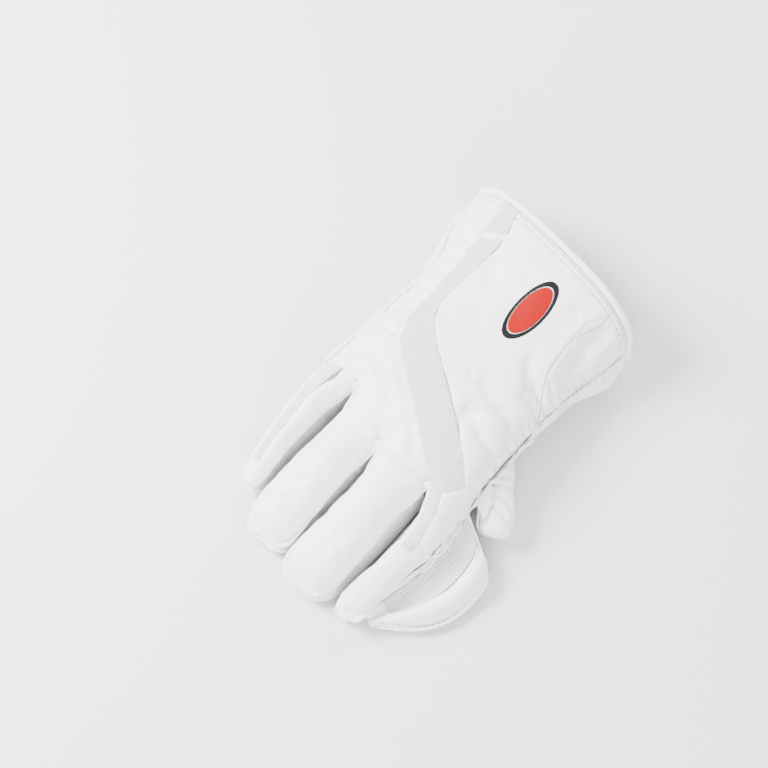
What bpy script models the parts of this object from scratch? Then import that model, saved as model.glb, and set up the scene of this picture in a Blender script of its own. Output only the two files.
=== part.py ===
"""A wicketkeeping glove for the right hand, lying palm down.

The fingers point towards -Y, the thumb towards +X and the back of the hand faces up.
The glove is a padded back, a thin pimpled palm and fabric walls between the two, so the
hand, the four fingers and the thumb are hollow and open towards the cuff's mouth at +Y.
All sizes are in metres. Tables hold shares of the named sizes, a row for each section.
"""

import math

import bmesh
import bpy
from mathutils import Vector

# Overall sizes. The length runs from the middle fingertip to the cuff's mouth.
LENGTH = 0.322
HAND_WIDTH = 0.158
HEIGHT = 0.080

# Walls
BACK_PAD = 0.009
CUFF_PAD = 0.006
SEAM_WALL = 0.003
FINGERTIP_PAD = 0.008
PALM_SHEET = 0.003
SIDE_WALL = 0.0018
THUMB_PAD = 0.004
WEB_SHEET = 0.003
WEB_FACING = 0.002
MESH_SHEET = 0.0012
BINDING_RADIUS = 0.0032

# Clearances between pieces that are sewn together on the real glove
CLEARANCE = 0.0003
PALM_SLOT = 0.0012
WALL_SET_IN = 0.0008
ROOT_RELIEF = 0.0012
WALL_START = 0.03

# The cuff's mouth: its slant, how far its middle and its corners fall short, and how far the
# palm side swells out past the seams
MOUTH_SKEW = 0.0125
MOUTH_DROP = 0.0095
CORNER_SETBACK = 0.003
CUFF_SWELL = 0.010
CUFF_WIDEST = 0.45
WRIST = 0.70
HEEL = 0.61

# Fingers: where their slots start, where a slot is widest, how the tips round off
LITTLE_ROOT = 0.43
FINGER_ROOT = 0.345
LITTLE_GAP = 0.0115
RING_GAP = 0.0090
INDEX_GAP = 0.0145
TIP_GAP = 0.003
INDEX_TIP_GAP = 0.007
GAP_WIDEST_AT = 0.28
TIP_ROUND_FROM = 0.78
TIP_WIDTH = 0.60
TIP_RISE = 0.12
TIP_CURL = 0.003
PALM_TIP_OVERHANG = 0.002
PALM_EDGE_RISE = 0.003
LITTLE_INSET = 0.005
INDEX_INSET = 0.006
DOME_POWER = 2.5
FINGER_POWER = 2.3

# Thumb and web
THUMB_WIDTH = 0.028
THUMB_DEPTH = 0.027
THUMB_BACK_FROM = -70
THUMB_BACK_TO = 150
THUMB_CAP = 0.37
THUMB_TIP_HOLE = 0.0005
GUSSET_BULGE = 0.001
WEB_STANDOFF = 0.0004
WEB_SLIT = 0.0025
WEB_SLIT_AT = 0.45
WEB_FULL_FROM = 0.03
WEB_DIP = 0.004
WEB_RIM_BULGE = 0.005
WEB_FROM = 0.045
WEB_TO = 0.376
WEB_VENT = {"from": 0.16, "to": 0.96, "inner": 0.09, "outer": 0.60}

# Rows run from the middle fingertip (0) to the cuff's mouth (1).
# left and right are shares of half the hand's width, the rest of the height.
HAND = (
    ("along", "left", "right", "seam", "crown", "palm"),
    (
        (0.00, -0.92, 0.83, 0.20, 0.40, 0.030),
        (0.08, -0.93, 0.85, 0.24, 0.47, 0.003),
        (0.16, -0.985, 0.88, 0.31, 0.56, 0.030),
        (0.25, -1.02, 0.945, 0.38, 0.67, 0.095),
        (0.345, -1.045, 0.94, 0.44, 0.77, 0.165),
        (0.43, -1.015, 0.925, 0.47, 0.86, 0.205),
        (0.52, -0.97, 0.925, 0.48, 0.88, 0.205),
        (0.61, -0.94, 0.935, 0.46, 0.85, 0.175),
        (0.70, -0.915, 0.955, 0.43, 0.81, 0.125),
        (0.78, -0.89, 0.995, 0.40, 0.83, 0.075),
        (0.85, -0.94, 1.03, 0.37, 0.89, 0.020),
        (0.91, -1.02, 1.065, 0.37, 0.95, -0.022),
        (1.00, -1.045, 1.105, 0.38, 1.00, -0.030),
    ),
)

# Slots between fingers: places across the hand at their root, half way and at the fingertips
# as shares of half the hand's width, and how wide they gape.
SLOTS = (
    {"root_at": LITTLE_ROOT, "places": (-0.575, -0.70, -0.665), "widest": LITTLE_GAP, "tip_gap": TIP_GAP},
    {"root_at": FINGER_ROOT, "places": (-0.045, -0.11, -0.135), "widest": RING_GAP, "tip_gap": TIP_GAP},
    {"root_at": FINGER_ROOT, "places": (0.565, 0.535, 0.475), "widest": INDEX_GAP, "tip_gap": INDEX_TIP_GAP},
)
FINGERS = (
    {"name": "little", "tip": 0.105},
    {"name": "ring", "tip": 0.032},
    {"name": "middle", "tip": 0.0},
    {"name": "index", "tip": 0.012},
)

# The vent band across the back, from the mouth to the index finger's root: its two edges
# as shares of half the hand's width.
BAND = (
    ("along", "first", "last"),
    (
        (0.330, 0.610, 0.700),
        (0.358, 0.530, 0.740),
        (0.385, 0.390, 0.850),
        (0.418, 0.196, 0.765),
        (0.448, 0.034, 0.600),
        (0.480, -0.135, 0.440),
        (0.513, -0.306, 0.270),
        (0.549, -0.465, 0.085),
        (0.580, -0.567, -0.090),
        (0.615, -0.640, -0.270),
        (0.655, -0.660, -0.440),
        (0.700, -0.650, -0.500),
        (0.800, -0.645, -0.460),
        (0.860, -0.650, -0.425),
        (0.920, -0.640, -0.415),
        (1.000, -0.700, -0.490),
    ),
)

# Vent strips on the outer two fingers: their edges as shares of the finger's width, and
# where they end as a share of its length.
FINGER_VENTS = {
    "little": {"root": (0.14, 0.52), "end": (0.14, 0.48), "until": 0.86},
    "index": {"root": (0.05, 0.42), "end": (0.22, 0.66), "until": 0.42},
}

# How far the cuff's palm side swells out past the seams, as shares of CUFF_SWELL.
SWELL = (
    ("along", "left", "right"),
    (
        (0.61, 0.20, 0.05),
        (0.70, 0.60, 0.35),
        (0.77, 0.90, 0.20),
        (0.83, 1.10, 0.60),
        (0.89, 0.85, 0.90),
        (0.95, 0.60, 0.80),
        (1.00, 0.45, 0.30),
    ),
)

# The palm's thumb-side edge, cut away round the thumb, as a share of its full width.
PALM_EDGE = (
    ("along", "right"),
    (
        (0.400, 1.00),
        (0.438, 0.950),
        (0.460, 0.875),
        (0.482, 0.790),
        (0.513, 0.690),
        (0.534, 0.640),
        (0.553, 0.565),
        (0.566, 0.610),
        (0.578, 0.680),
        (0.590, 0.760),
        (0.598, 0.850),
        (0.610, 0.950),
    ),
)

# The thumb's centreline: places across and along the hand as shares of its half width and
# length, height as a share of HEIGHT, width and depth as shares of the thumb's own.
THUMB = (
    ("at", "across", "along", "height", "width", "depth"),
    (
        (0.00, 0.630, 0.572, 0.360, 1.04, 1.00),
        (0.25, 0.850, 0.507, 0.283, 1.00, 1.00),
        (0.50, 0.995, 0.464, 0.266, 1.02, 0.98),
        (0.72, 1.095, 0.432, 0.246, 1.03, 0.95),
        (0.88, 1.155, 0.411, 0.228, 1.02, 0.92),
        (1.00, 1.190, 0.396, 0.214, 0.98, 0.88),
    ),
)

# The web's outer edge from the index fingertip to the thumb's tip, in the thumb's measures.
WEB_EDGE = (
    ("at", "across", "along", "height"),
    (
        (0.00, 0.90, 0.036, 0.095),
        (0.14, 1.09, 0.068, 0.082),
        (0.32, 1.30, 0.112, 0.082),
        (0.50, 1.43, 0.165, 0.090),
        (0.66, 1.49, 0.227, 0.108),
        (0.82, 1.48, 0.279, 0.150),
        (0.93, 1.42, 0.308, 0.200),
        (1.00, 1.31, 0.323, 0.240),
    ),
)


def smooth(value):
    """Eases a share from 0 to 1."""
    value = min(max(value, 0.0), 1.0)
    return value * value * (3 - 2 * value)


def mix(a, b, share):
    return a + (b - a) * share


def signed_power(value, power):
    return math.copysign(abs(value) ** power, value)


def read(table, name, share):
    """A table's column at a share between its rows, on a smooth curve through them."""
    names, rows = table
    place = names.index(name)
    keys = [row[0] for row in rows]
    values = [row[place] for row in rows]
    share = min(max(share, keys[0]), keys[-1])
    i = max(k for k in range(len(keys) - 1) if keys[k] <= share)

    def slope(k):
        before, after = max(k - 1, 0), min(k + 1, len(keys) - 1)
        return (values[after] - values[before]) / (keys[after] - keys[before])

    span = keys[i + 1] - keys[i]
    f = (share - keys[i]) / span
    rise = values[i + 1] - values[i]
    start, end = slope(i) * span, slope(i + 1) * span
    return values[i] + f * (start + f * (3 * rise - 2 * start - end + f * (start + end - 2 * rise)))


def edge_x(along, name):
    return read(HAND, name, along) * HAND_WIDTH / 2


def height_of(along, name):
    return read(HAND, name, along) * HEIGHT


def middle_and_half(along):
    left, right = edge_x(along, "left"), edge_x(along, "right")
    return (left + right) / 2, (right - left) / 2


def lengthwise(along, x=0.0):
    """The y of a place, with the slant of the mouth and its rounded corners."""
    middle, half = middle_and_half(along)
    across = min(max((x - middle) / half, -1.0), 1.0)
    mouth = smooth((along - WRIST) / (1 - WRIST))
    fall = MOUTH_DROP + MOUTH_SKEW * across + CORNER_SETBACK * across**8
    return (along - 0.5) * LENGTH - mouth * fall


def slot_x(slot, along):
    """The centre line of a slot, which carries on up the back as a fold line."""
    root, half_way, tip = slot["places"]
    down = min(max((slot["root_at"] - along) / slot["root_at"], 0.0), 1.0)
    bend = 4 * (half_way - (root + tip) / 2) * down * (1 - down)
    return (mix(root, tip, down) + bend) * HAND_WIDTH / 2


def slot_gap(slot, along):
    """How wide a slot is: pointed at its root, widest a third of the way down."""
    down = (slot["root_at"] - along) / slot["root_at"]
    if down <= 0:
        return 0.0
    if down < GAP_WIDEST_AT:
        return slot["widest"] * math.sin(math.pi / 2 * down / GAP_WIDEST_AT)
    rest = smooth((down - GAP_WIDEST_AT) / (1 - GAP_WIDEST_AT))
    return mix(slot["widest"], slot["tip_gap"], rest)


def slot_depth(slot, along):
    """How far the back has dipped towards the seam at a slot: 0 none, 1 down to the seam."""
    return smooth((slot["root_at"] + 0.025 - along) / 0.07)


def dome(x, along):
    """The back's height before the slots are cut into it."""
    middle, half = middle_and_half(along)
    across = min(abs((x - middle) / half), 1.0)
    seam, crown = height_of(along, "seam"), height_of(along, "crown")
    return seam + (crown - seam) * (1 - across**DOME_POWER) ** (1 / DOME_POWER)


def shoulder(distance):
    """The rounded drop beside a slot: 1 at its edge and 0 on the finger's crown."""
    distance = min(max(distance, 0.0), 1.0)
    return 1 - (1 - (1 - distance) ** FINGER_POWER) ** (1 / FINGER_POWER)


def finger_edges(i, along, least_gap=0.0):
    """The left and right edges of finger back i."""
    edges = []
    for slot_number, side in ((i - 1, 1), (i, -1)):
        if 0 <= slot_number < len(SLOTS):
            slot = SLOTS[slot_number]
            gap = max(slot_gap(slot, along), least_gap)
            edges.append(slot_x(slot, along) + side * gap / 2)
        else:
            edges.append(edge_x(along, "left" if slot_number < 0 else "right"))
    return edges


def back_height(x, along):
    """The back's height with its slots."""
    height = dome(x, along)
    seam = height_of(along, "seam")
    for number, slot in enumerate(SLOTS):
        finger = number + 1 if x > slot_x(slot, along) else number
        left, right = finger_edges(finger, along)
        edge = left if finger > number else right
        distance = abs(x - edge) / ((right - left) / 2)
        depth = slot_depth(slot, along) * (dome(edge, along) - seam)
        height -= depth * shoulder(distance)
    return height


def arc_shares(count):
    """Shares from 0 to 1, closer together towards both ends."""
    return [(1 - math.cos(math.pi * k / count)) / 2 for k in range(count + 1)]


def root_line(x):
    """Where the back of the hand ends and the finger backs start: a line through the slots' roots."""
    first, second = (slot_x(slot, slot["root_at"]) for slot in SLOTS[:2])
    return mix(LITTLE_ROOT, FINGER_ROOT, min(max((x - first) / (second - first), 0.0), 1.0))


def finger_along(i, f, t):
    """The share of the glove's length at a place on finger i: f across it, t towards its tip."""
    root = LITTLE_ROOT if i == 0 else FINGER_ROOT
    if i == 1:
        for _ in range(12):
            left, right = finger_edges(i, root)
            root = root_line(mix(left, right, f))
    return mix(root, FINGERS[i]["tip"], t)


def finger_shares(count):
    """Shares of a finger's length, closer together towards its tip."""
    return [mix(k / count, math.sin(math.pi / 2 * k / count), 0.6) for k in range(count + 1)]


def tip_factor(t):
    """How full a finger is at share t of its length: 1, then rounding off to 0 at its tip."""
    past = min(max((t - TIP_ROUND_FROM) / (1 - TIP_ROUND_FROM), 0.0), 1.0)
    return (1 - past**2.4) ** (1 / 2.4)


def finger_back_point(i, t, f, inner=False):
    """A point of a finger's back: f across it from the little-finger side, t towards its tip."""
    along = finger_along(i, f, t)
    left, right = finger_edges(i, along, CLEARANCE)
    seam = height_of(along, "seam")
    full = tip_factor(t)
    x = mix(left, right, f)
    z = seam + (back_height(x, along) - seam) * mix(TIP_RISE, 1, full)
    centre = (left + right) / 2
    x = centre + (x - centre) * mix(TIP_WIDTH, 1, full)
    y = lengthwise(along) - CLEARANCE / 2
    if not inner:
        return Vector((x, y, z))
    depths = (
        slot_depth(SLOTS[i - 1], along) if i > 0 else 1.0,
        slot_depth(SLOTS[i], along) if i < len(SLOTS) else 1.0,
    )
    across = 2 * f - 1
    depth = depths[0] if across < 0 else depths[1]
    inset = SEAM_WALL * depth * across
    y += (root_line(x - inset) - root_line(x)) * LENGTH * (1 - t)
    x -= inset
    pad = BACK_PAD * (1 - depth * across**4) * mix(0.3, 1, full)
    setback = FINGERTIP_PAD * t**4
    seam = height_of(along + setback / LENGTH, "seam")
    return Vector((x, y + setback, max(seam, z - pad)))


def hand_back_point(along, x, inner=False):
    """A point of the back of the hand and cuff."""
    middle, half = middle_and_half(along)
    across = min(max((x - middle) / half, -1.0), 1.0)
    z = back_height(x, along)
    y = lengthwise(along, x)
    if not inner:
        return Vector((x, y, z))
    seam = height_of(along, "seam")
    pad = mix(BACK_PAD, CUFF_PAD, smooth((along - HEEL) / (1 - HEEL))) * (1 - across**8)
    inset = SEAM_WALL * signed_power(across, 3)
    return Vector((x - inset, y, max(seam, z - pad)))


def panel_along(v, x):
    """The back panel's rows: v is 0 at the fingers' roots, 0.4 at the heel, 1 at the mouth."""
    if v < 0.4:
        return mix(root_line(x), HEEL, v / 0.4)
    return mix(HEEL, 1.0, (v - 0.4) / 0.6)


def panel_point(v, x, inner=False):
    """A point of the back panel, a hair's breadth away from the finger backs at its front."""
    point = hand_back_point(panel_along(v, x), x, inner)
    follow = (root_line(point.x) - root_line(x)) * LENGTH * max(1 - v / 0.4, 0.0)
    return point + Vector((0, follow + CLEARANCE / 2 * max(1 - v / 0.1, 0.0), 0))


def palm_edges(i, along):
    """The edges of palm finger i, which fill the slots that the finger backs leave."""
    edges = []
    for slot_number, side in ((i - 1, 1), (i, -1)):
        if 0 <= slot_number < len(SLOTS):
            slot = SLOTS[slot_number]
            gap = PALM_SLOT if along < slot["root_at"] - 1e-6 else 0.0
            edges.append(slot_x(slot, along) + side * gap / 2)
        elif slot_number < 0:
            edges.append(edge_x(along, "left") + LITTLE_INSET)
        else:
            edges.append(edge_x(along, "right") - INDEX_INSET)
    return edges


def palm_point(i, f, along, t=0.0):
    """A point of the palm's underside."""
    left, right = palm_edges(i, along)
    full = tip_factor(t)
    x = mix(left, right, f)
    centre = (left + right) / 2
    x = centre + (x - centre) * mix(TIP_WIDTH, 1, full)
    if along > PALM_EDGE[1][0][0]:
        outer_left = edge_x(along, "left") + LITTLE_INSET
        outer_right = edge_x(along, "right") - INDEX_INSET
        cut = mix(outer_left, outer_right, (1 + read(PALM_EDGE, "right", along)) / 2)
        x = mix(outer_left, cut, (x - outer_left) / (outer_right - outer_left))
    separate = smooth((FINGER_ROOT + 0.03 - along) / 0.06)
    rounding = abs(2 * f - 1) ** 3 * separate
    z = height_of(along, "palm") + PALM_EDGE_RISE * rounding + TIP_CURL * (1 - full)
    return Vector((x, lengthwise(along) - PALM_TIP_OVERHANG * t**4, z))


MATERIALS = {
    "white_leather": ((0.86, 0.87, 0.87), 0.45),
    "vent_mesh": ((0.80, 0.81, 0.84), 0.75),
    "pimpled_rubber": ((0.78, 0.73, 0.62), 0.65),
    "wall_fabric": ((0.78, 0.79, 0.79), 0.80),
    "binding_leather": ((0.88, 0.88, 0.86), 0.50),
}


def material_named(name):
    """One Principled material for each finish."""
    found = bpy.data.materials.get(name)
    if found:
        return found
    colour, roughness = MATERIALS[name]
    made = bpy.data.materials.new(name)
    made.use_nodes = True
    shader = made.node_tree.nodes["Principled BSDF"]
    shader.inputs["Base Color"].default_value = (*colour, 1)
    shader.inputs["Roughness"].default_value = roughness
    shader.inputs["Metallic"].default_value = 0.0
    return made


def add_object(name, data, material):
    """Puts mesh or curve data into the glove's collection, carried by its empty."""
    data.materials.append(material_named(material))
    obj = bpy.data.objects.new(name, data)
    glove.objects.link(obj)
    obj.parent = origin
    return obj


def padded_wall(name, outer, inner, material):
    """A closed wall between two lofted surfaces, each a list of rows of points.

    Every cell is split along the same diagonal, so that neighbouring walls stay parallel.
    """
    rows, columns = len(outer), len(outer[0])
    mesh = bpy.data.meshes.new(name)
    shape = bmesh.new()
    top = [[shape.verts.new(point) for point in row] for row in outer]
    under = [[shape.verts.new(point) for point in row] for row in inner]
    for a in range(rows - 1):
        for b in range(columns - 1):
            shape.faces.new((top[a][b], top[a][b + 1], top[a + 1][b + 1]))
            shape.faces.new((top[a][b], top[a + 1][b + 1], top[a + 1][b]))
            shape.faces.new((under[a][b], under[a + 1][b + 1], under[a][b + 1]))
            shape.faces.new((under[a][b], under[a + 1][b], under[a + 1][b + 1]))
    border = [(0, b) for b in range(columns)]
    border += [(a, columns - 1) for a in range(1, rows)]
    border += [(rows - 1, b) for b in range(columns - 2, -1, -1)]
    border += [(a, 0) for a in range(rows - 2, 0, -1)]
    for (a, b), (c, d) in zip(border, border[1:] + border[:1]):
        shape.faces.new((top[a][b], under[a][b], under[c][d], top[c][d]))
    bmesh.ops.recalc_face_normals(shape, faces=shape.faces)
    shape.to_mesh(mesh)
    shape.free()
    mesh.shade_smooth()
    return add_object(name, mesh, material)


def lowered(surface, a, b, depth):
    """A point this deep under surface(a, b), in the upright plane of row a."""
    step = 1e-4
    along_a = surface(min(a + step, 1), b) - surface(max(a - step, 0), b)
    along_b = surface(a, b + step) - surface(a, b - step)
    normal = along_a.cross(along_b)
    aside = Vector((-along_b.y, along_b.x, 0)).normalized()
    normal -= aside * normal.dot(aside)
    normal.normalize()
    if normal.z < 0:
        normal.negate()
    return surface(a, b) - normal * depth


def inlaid_wall(name, vent, surface, rows, columns, floor_count, edge):
    """A padded wall with a channel cut into it, and the vent mesh that lies in the channel.

    surface takes (row, column, inner). rows are (row, whether the channel runs there).
    columns gives the columns before the channel, its two edges and the columns after it.
    """
    outer, inner, mesh_top, mesh_under = [], [], [], []
    for a, cut in rows:
        before, (first, last), after = columns(a)
        floor = [mix(first + edge, last - edge, k / floor_count) for k in range(floor_count + 1)]
        depth = MESH_SHEET + CLEARANCE if cut else 0.0
        all_columns = before + [first] + floor + [last] + after
        row = [surface(a, b) for b in before + [first]]
        row += [lowered(surface, a, b, depth) for b in floor]
        row += [surface(a, b) for b in [last] + after]
        outer.append(row)
        inner.append([surface(a, b, True) for b in all_columns])
        if cut:
            strip = [mix(first + 2 * edge, last - 2 * edge, k / floor_count) for k in range(floor_count + 1)]
            mesh_top.append([surface(a, b) for b in strip])
            mesh_under.append([lowered(surface, a, b, MESH_SHEET) for b in strip])
    padded_wall(name, outer, inner, "white_leather")
    padded_wall(vent, mesh_top, mesh_under, "vent_mesh")


def make_back_panel():
    """The padded back of the hand and cuff, with a channel for the vent band."""

    def band_edge(v, name):
        x = 0.0
        for _ in range(30):
            x = mix(x, read(BAND, name, panel_along(v, x)) * HAND_WIDTH / 2, 0.6)
        return x

    # Columns on the little-finger side of the band, placed to meet the slots' roots
    first_slot, second_slot = (slot_x(slot, slot["root_at"]) for slot in SLOTS[:2])
    start, stop = edge_x(LITTLE_ROOT, "left"), band_edge(0.0, "first")
    spots = [mix(start, first_slot, share) for share in (0.0, 0.06, 0.2, 0.5)]
    spots += [mix(first_slot, second_slot, k / 4) for k in range(4)]
    spots += [mix(second_slot, stop, k / 4) for k in range(4)]
    west_shares = [(spot - start) / (stop - start) for spot in spots]

    def columns(v):
        first, last = band_edge(v, "first"), band_edge(v, "last")
        left = edge_x(panel_along(v, -HAND_WIDTH / 2), "left")
        right = edge_x(panel_along(v, HAND_WIDTH / 2), "right")
        west = [mix(left, first, share) for share in west_shares]
        east = [mix(last, right, math.sin(math.pi / 2 * k / 8)) for k in range(1, 9)]
        return west, (first, last), east

    rows = [0.4 * k / 6 for k in range(6)] + [mix(0.4, 1.0, k / 8) for k in range(9)]
    rows = [(v, True) for v in rows]
    inlaid_wall("back_panel", "vent_band", panel_point, rows, columns, 3, CLEARANCE)


def make_finger_backs():
    """Four padded finger backs. The outer two carry a strip of vent mesh in a channel."""
    for i, finger in enumerate(FINGERS):
        name = "finger_back_" + finger["name"]
        shares = finger_shares(9)
        vent = FINGER_VENTS.get(finger["name"])
        if not vent:
            across = arc_shares(8)
            outer = [[finger_back_point(i, t, f) for f in across] for t in shares]
            inner = [[finger_back_point(i, t, f, True) for f in across] for t in shares]
            padded_wall(name, outer, inner, "white_leather")
            continue

        def surface(t, f, inner=False, i=i):
            return finger_back_point(i, t, f, inner)

        def columns(t, vent=vent):
            down = min(t / vent["until"], 1.0)
            first, last = (mix(a, b, down) for a, b in zip(vent["root"], vent["end"]))
            before = [0.0, first * 0.45]
            after = [mix(last, 1.0, math.sin(math.pi / 2 * k / 5)) for k in range(1, 6)]
            return before, (first, last), after

        until = vent["until"]
        rows = [(t, True) for t in shares if t < until - 0.04]
        rows += [(until, True), (until + 0.004, False)]
        rows += [(t, False) for t in shares if t > until + 0.03]
        inlaid_wall(name, "vent_strip_" + finger["name"], surface, rows, columns, 2, 0.012)


def make_palm():
    """The pimpled palm and the fronts of the four fingers, one sheet."""
    heel_rows = [HEEL - CLEARANCE / LENGTH, 0.598, 0.59, 0.578, 0.566, 0.553, 0.534, 0.513, 0.482, 0.46]
    heel_rows += [LITTLE_ROOT, 0.40, 0.37]
    mesh = bpy.data.meshes.new("palm_facing")
    shape = bmesh.new()
    for i, finger in enumerate(FINGERS):
        tip = finger["tip"]
        rows = [(along, 0.0) for along in heel_rows]
        for t in finger_shares(7):
            rows.append((mix(FINGER_ROOT, tip, t), t))
        grid = []
        for along, t in rows:
            grid.append([shape.verts.new(palm_point(i, f, along, t)) for f in arc_shares(4)])
        for upper, lower in zip(grid, grid[1:]):
            for b in range(4):
                shape.faces.new((upper[b], upper[b + 1], lower[b + 1], lower[b]))
    bmesh.ops.remove_doubles(shape, verts=shape.verts, dist=1e-5)
    bmesh.ops.recalc_face_normals(shape, faces=shape.faces)
    if sum(face.normal.z for face in shape.faces) < 0:
        bmesh.ops.reverse_faces(shape, faces=shape.faces)
    shape.to_mesh(mesh)
    shape.free()
    mesh.shade_smooth()
    palm = add_object("palm_facing", mesh, "pimpled_rubber")
    wall = palm.modifiers.new("sheet thickness", "SOLIDIFY")
    wall.thickness = PALM_SHEET
    wall.offset = 1
    wall.use_even_offset = True


def lowest_rim(points, relief=0.0):
    return min(point.z for point in points) - 2 * CLEARANCE - relief


def hand_rim(along, side):
    """The top of a wall that stands under the hand's seam edge."""
    x = edge_x(along, side)
    toward = 1 if side == "left" else -1
    inner = [hand_back_point(along, x + toward * SEAM_WALL * share, True) for share in (0.0, 0.5, 1.0)]
    edge = hand_back_point(along, x)
    return Vector((x + toward * WALL_SET_IN, edge.y, lowest_rim(inner + [edge])))


def finger_rim(i, f, t):
    """The top of a wall that stands under a finger back's edge."""
    edge = finger_back_point(i, t, f)
    centre = finger_back_point(i, t, 0.5)
    inner = [finger_back_point(i, t, mix(f, 0.5, step), True) for step in (0.0, 0.08, 0.16, 0.24)]
    toward = centre - edge
    toward.z = 0
    if toward.length > 1e-6:
        toward.normalize()
    tip_inset = WALL_SET_IN if t > 0.999 else 0.0
    top = edge + toward * WALL_SET_IN
    relief = ROOT_RELIEF * (1 - smooth(t / 0.5))
    return Vector((top.x, top.y + tip_inset, lowest_rim(inner + [edge], relief)))


def wall_foot(i, f, along, t):
    """Where a wall stands on the palm's edge."""
    edge = palm_point(i, f, along, t)
    centre = palm_point(i, 0.5, along, t)
    toward = math.copysign(1, centre.x - edge.x) if abs(centre.x - edge.x) > 1e-6 else 0.0
    tip_inset = WALL_SET_IN + PALM_TIP_OVERHANG if t > 0.999 else 0.0
    z = edge.z + PALM_SHEET + 2 * CLEARANCE
    return Vector((edge.x + toward * WALL_SET_IN, edge.y + tip_inset, z))


def fabric_wall(name, tops, feet, turn):
    """An upright wall of even thickness from its feet to its top edge."""
    outer = [tops, [mix(a, b, 0.5) for a, b in zip(tops, feet)], feet]
    inner = []
    for row in outer:
        points = []
        for k, point in enumerate(row):
            before, after = tops[max(k - 1, 0)], tops[min(k + 1, len(tops) - 1)]
            tangent = after - before
            inward = Vector((-tangent.y, tangent.x, 0)).normalized() * turn
            if k in (0, len(tops) - 1):
                inward = Vector((math.copysign(1, inward.x), 0, 0))
            points.append(point + inward * SIDE_WALL)
        inner.append(points)
    padded_wall(name, outer, inner, "wall_fabric")


def make_finger_walls():
    """The fabric wall round each finger, from its palm edge up to its back's edge."""
    little_lead = [panel_along(0.4 * k / 6, -HAND_WIDTH / 2) for k in range(6, 0, -1)]
    little_lead[0] -= CLEARANCE / LENGTH
    index_lead = [panel_along(0.4 / 6, HAND_WIDTH / 2)]
    leads = {"little": (little_lead, "left"), "index": (index_lead, "right")}
    for i, finger in enumerate(FINGERS):
        tops, feet = [], []
        for f in (0.0, 1.0):
            leg = []
            for t in [WALL_START] + finger_shares(9)[1:]:
                along = finger_along(i, f, t)
                leg.append((finger_rim(i, f, t), wall_foot(i, f, along, t)))
            lead, side = leads.get(finger["name"], ((), ""))
            if side == ("left" if f == 0 else "right"):
                start = [(hand_rim(a, side), wall_foot(i, f, a, 0)) for a in lead]
                leg = start + leg
            if f == 1.0:
                for share in (0.25, 0.5, 0.75):
                    along = finger_along(i, share, 1.0)
                    tops.append(finger_rim(i, share, 1.0))
                    feet.append(wall_foot(i, share, along, 1.0))
                leg.reverse()
            tops += [top for top, foot in leg]
            feet += [foot for top, foot in leg]
        fabric_wall("finger_wall_" + finger["name"], tops, feet, 1)


def make_wrist_gusset():
    """The short wall between the thumb's root and the heel, under the wrist's seam."""
    alongs = [HEEL - CLEARANCE / LENGTH, 0.602, 0.594]
    tops = [hand_rim(along, "right") for along in alongs]
    lean = Vector((INDEX_INSET / 2, 0, 0))
    feet = [Vector((top.x, top.y, height_of(a, "palm"))) - lean for top, a in zip(tops, alongs)]
    fabric_wall("wrist_gusset", tops, feet, -1)


def cuff_palm_point(place, along, inner=False):
    """A point of the cuff's palm side, which swells out below the seams and lies on the floor."""
    left, right = edge_x(along, "left"), edge_x(along, "right")
    wide_left = left - CUFF_SWELL * read(SWELL, "left", along)
    wide_right = right + CUFF_SWELL * read(SWELL, "right", along)
    seam = height_of(along, "seam") - CLEARANCE
    palm = height_of(along, "palm")
    widest = mix(palm, seam, CUFF_WIDEST)
    side = 0.16

    def profile(share):
        if share < side:
            down = share / side
            swell = math.sin(math.pi / 2 * down) ** 2
            return Vector((mix(left, wide_left, swell), 0, mix(seam, widest, down)))
        if share > 1 - side:
            down = (1 - share) / side
            swell = math.sin(math.pi / 2 * down) ** 2
            return Vector((mix(right, wide_right, swell), 0, mix(seam, widest, down)))
        angle = math.pi * (share - side) / (1 - 2 * side)
        power = 2 / mix(4.5, 3.0, smooth((along - HEEL) / (1 - HEEL)))
        out = signed_power(math.cos(angle), power)
        drop = max(math.sin(angle), 0.0) ** power
        x = mix(wide_left, wide_right, (1 - out) / 2)
        return Vector((x, 0, max(mix(widest, palm, drop), 0.0)))

    point = profile(place)
    if inner:
        step = 0.004
        tangent = profile(min(place + step, 1)) - profile(max(place - step, 0))
        normal = Vector((-tangent.z, 0, tangent.x)).normalized()
        point += normal * mix(SEAM_WALL, CUFF_PAD, math.sin(math.pi * place) ** 0.5)
        if place in (0.0, 1.0):
            point.z = seam
    return Vector((point.x, lengthwise(along, point.x), point.z))


def make_cuff_palm():
    """The palm side of the cuff, from the heel of the hand to the mouth."""
    alongs = [HEEL + CLEARANCE / LENGTH] + [mix(HEEL, 1.0, k / 8) for k in range(1, 9)]
    places = [0.0, 0.053, 0.107] + [mix(0.16, 0.84, k / 12) for k in range(13)] + [0.893, 0.947, 1.0]
    outer = [[cuff_palm_point(place, along) for place in places] for along in alongs]
    inner = [[cuff_palm_point(place, along, True) for place in places] for along in alongs]
    padded_wall("cuff_palm", outer, inner, "white_leather")


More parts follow.
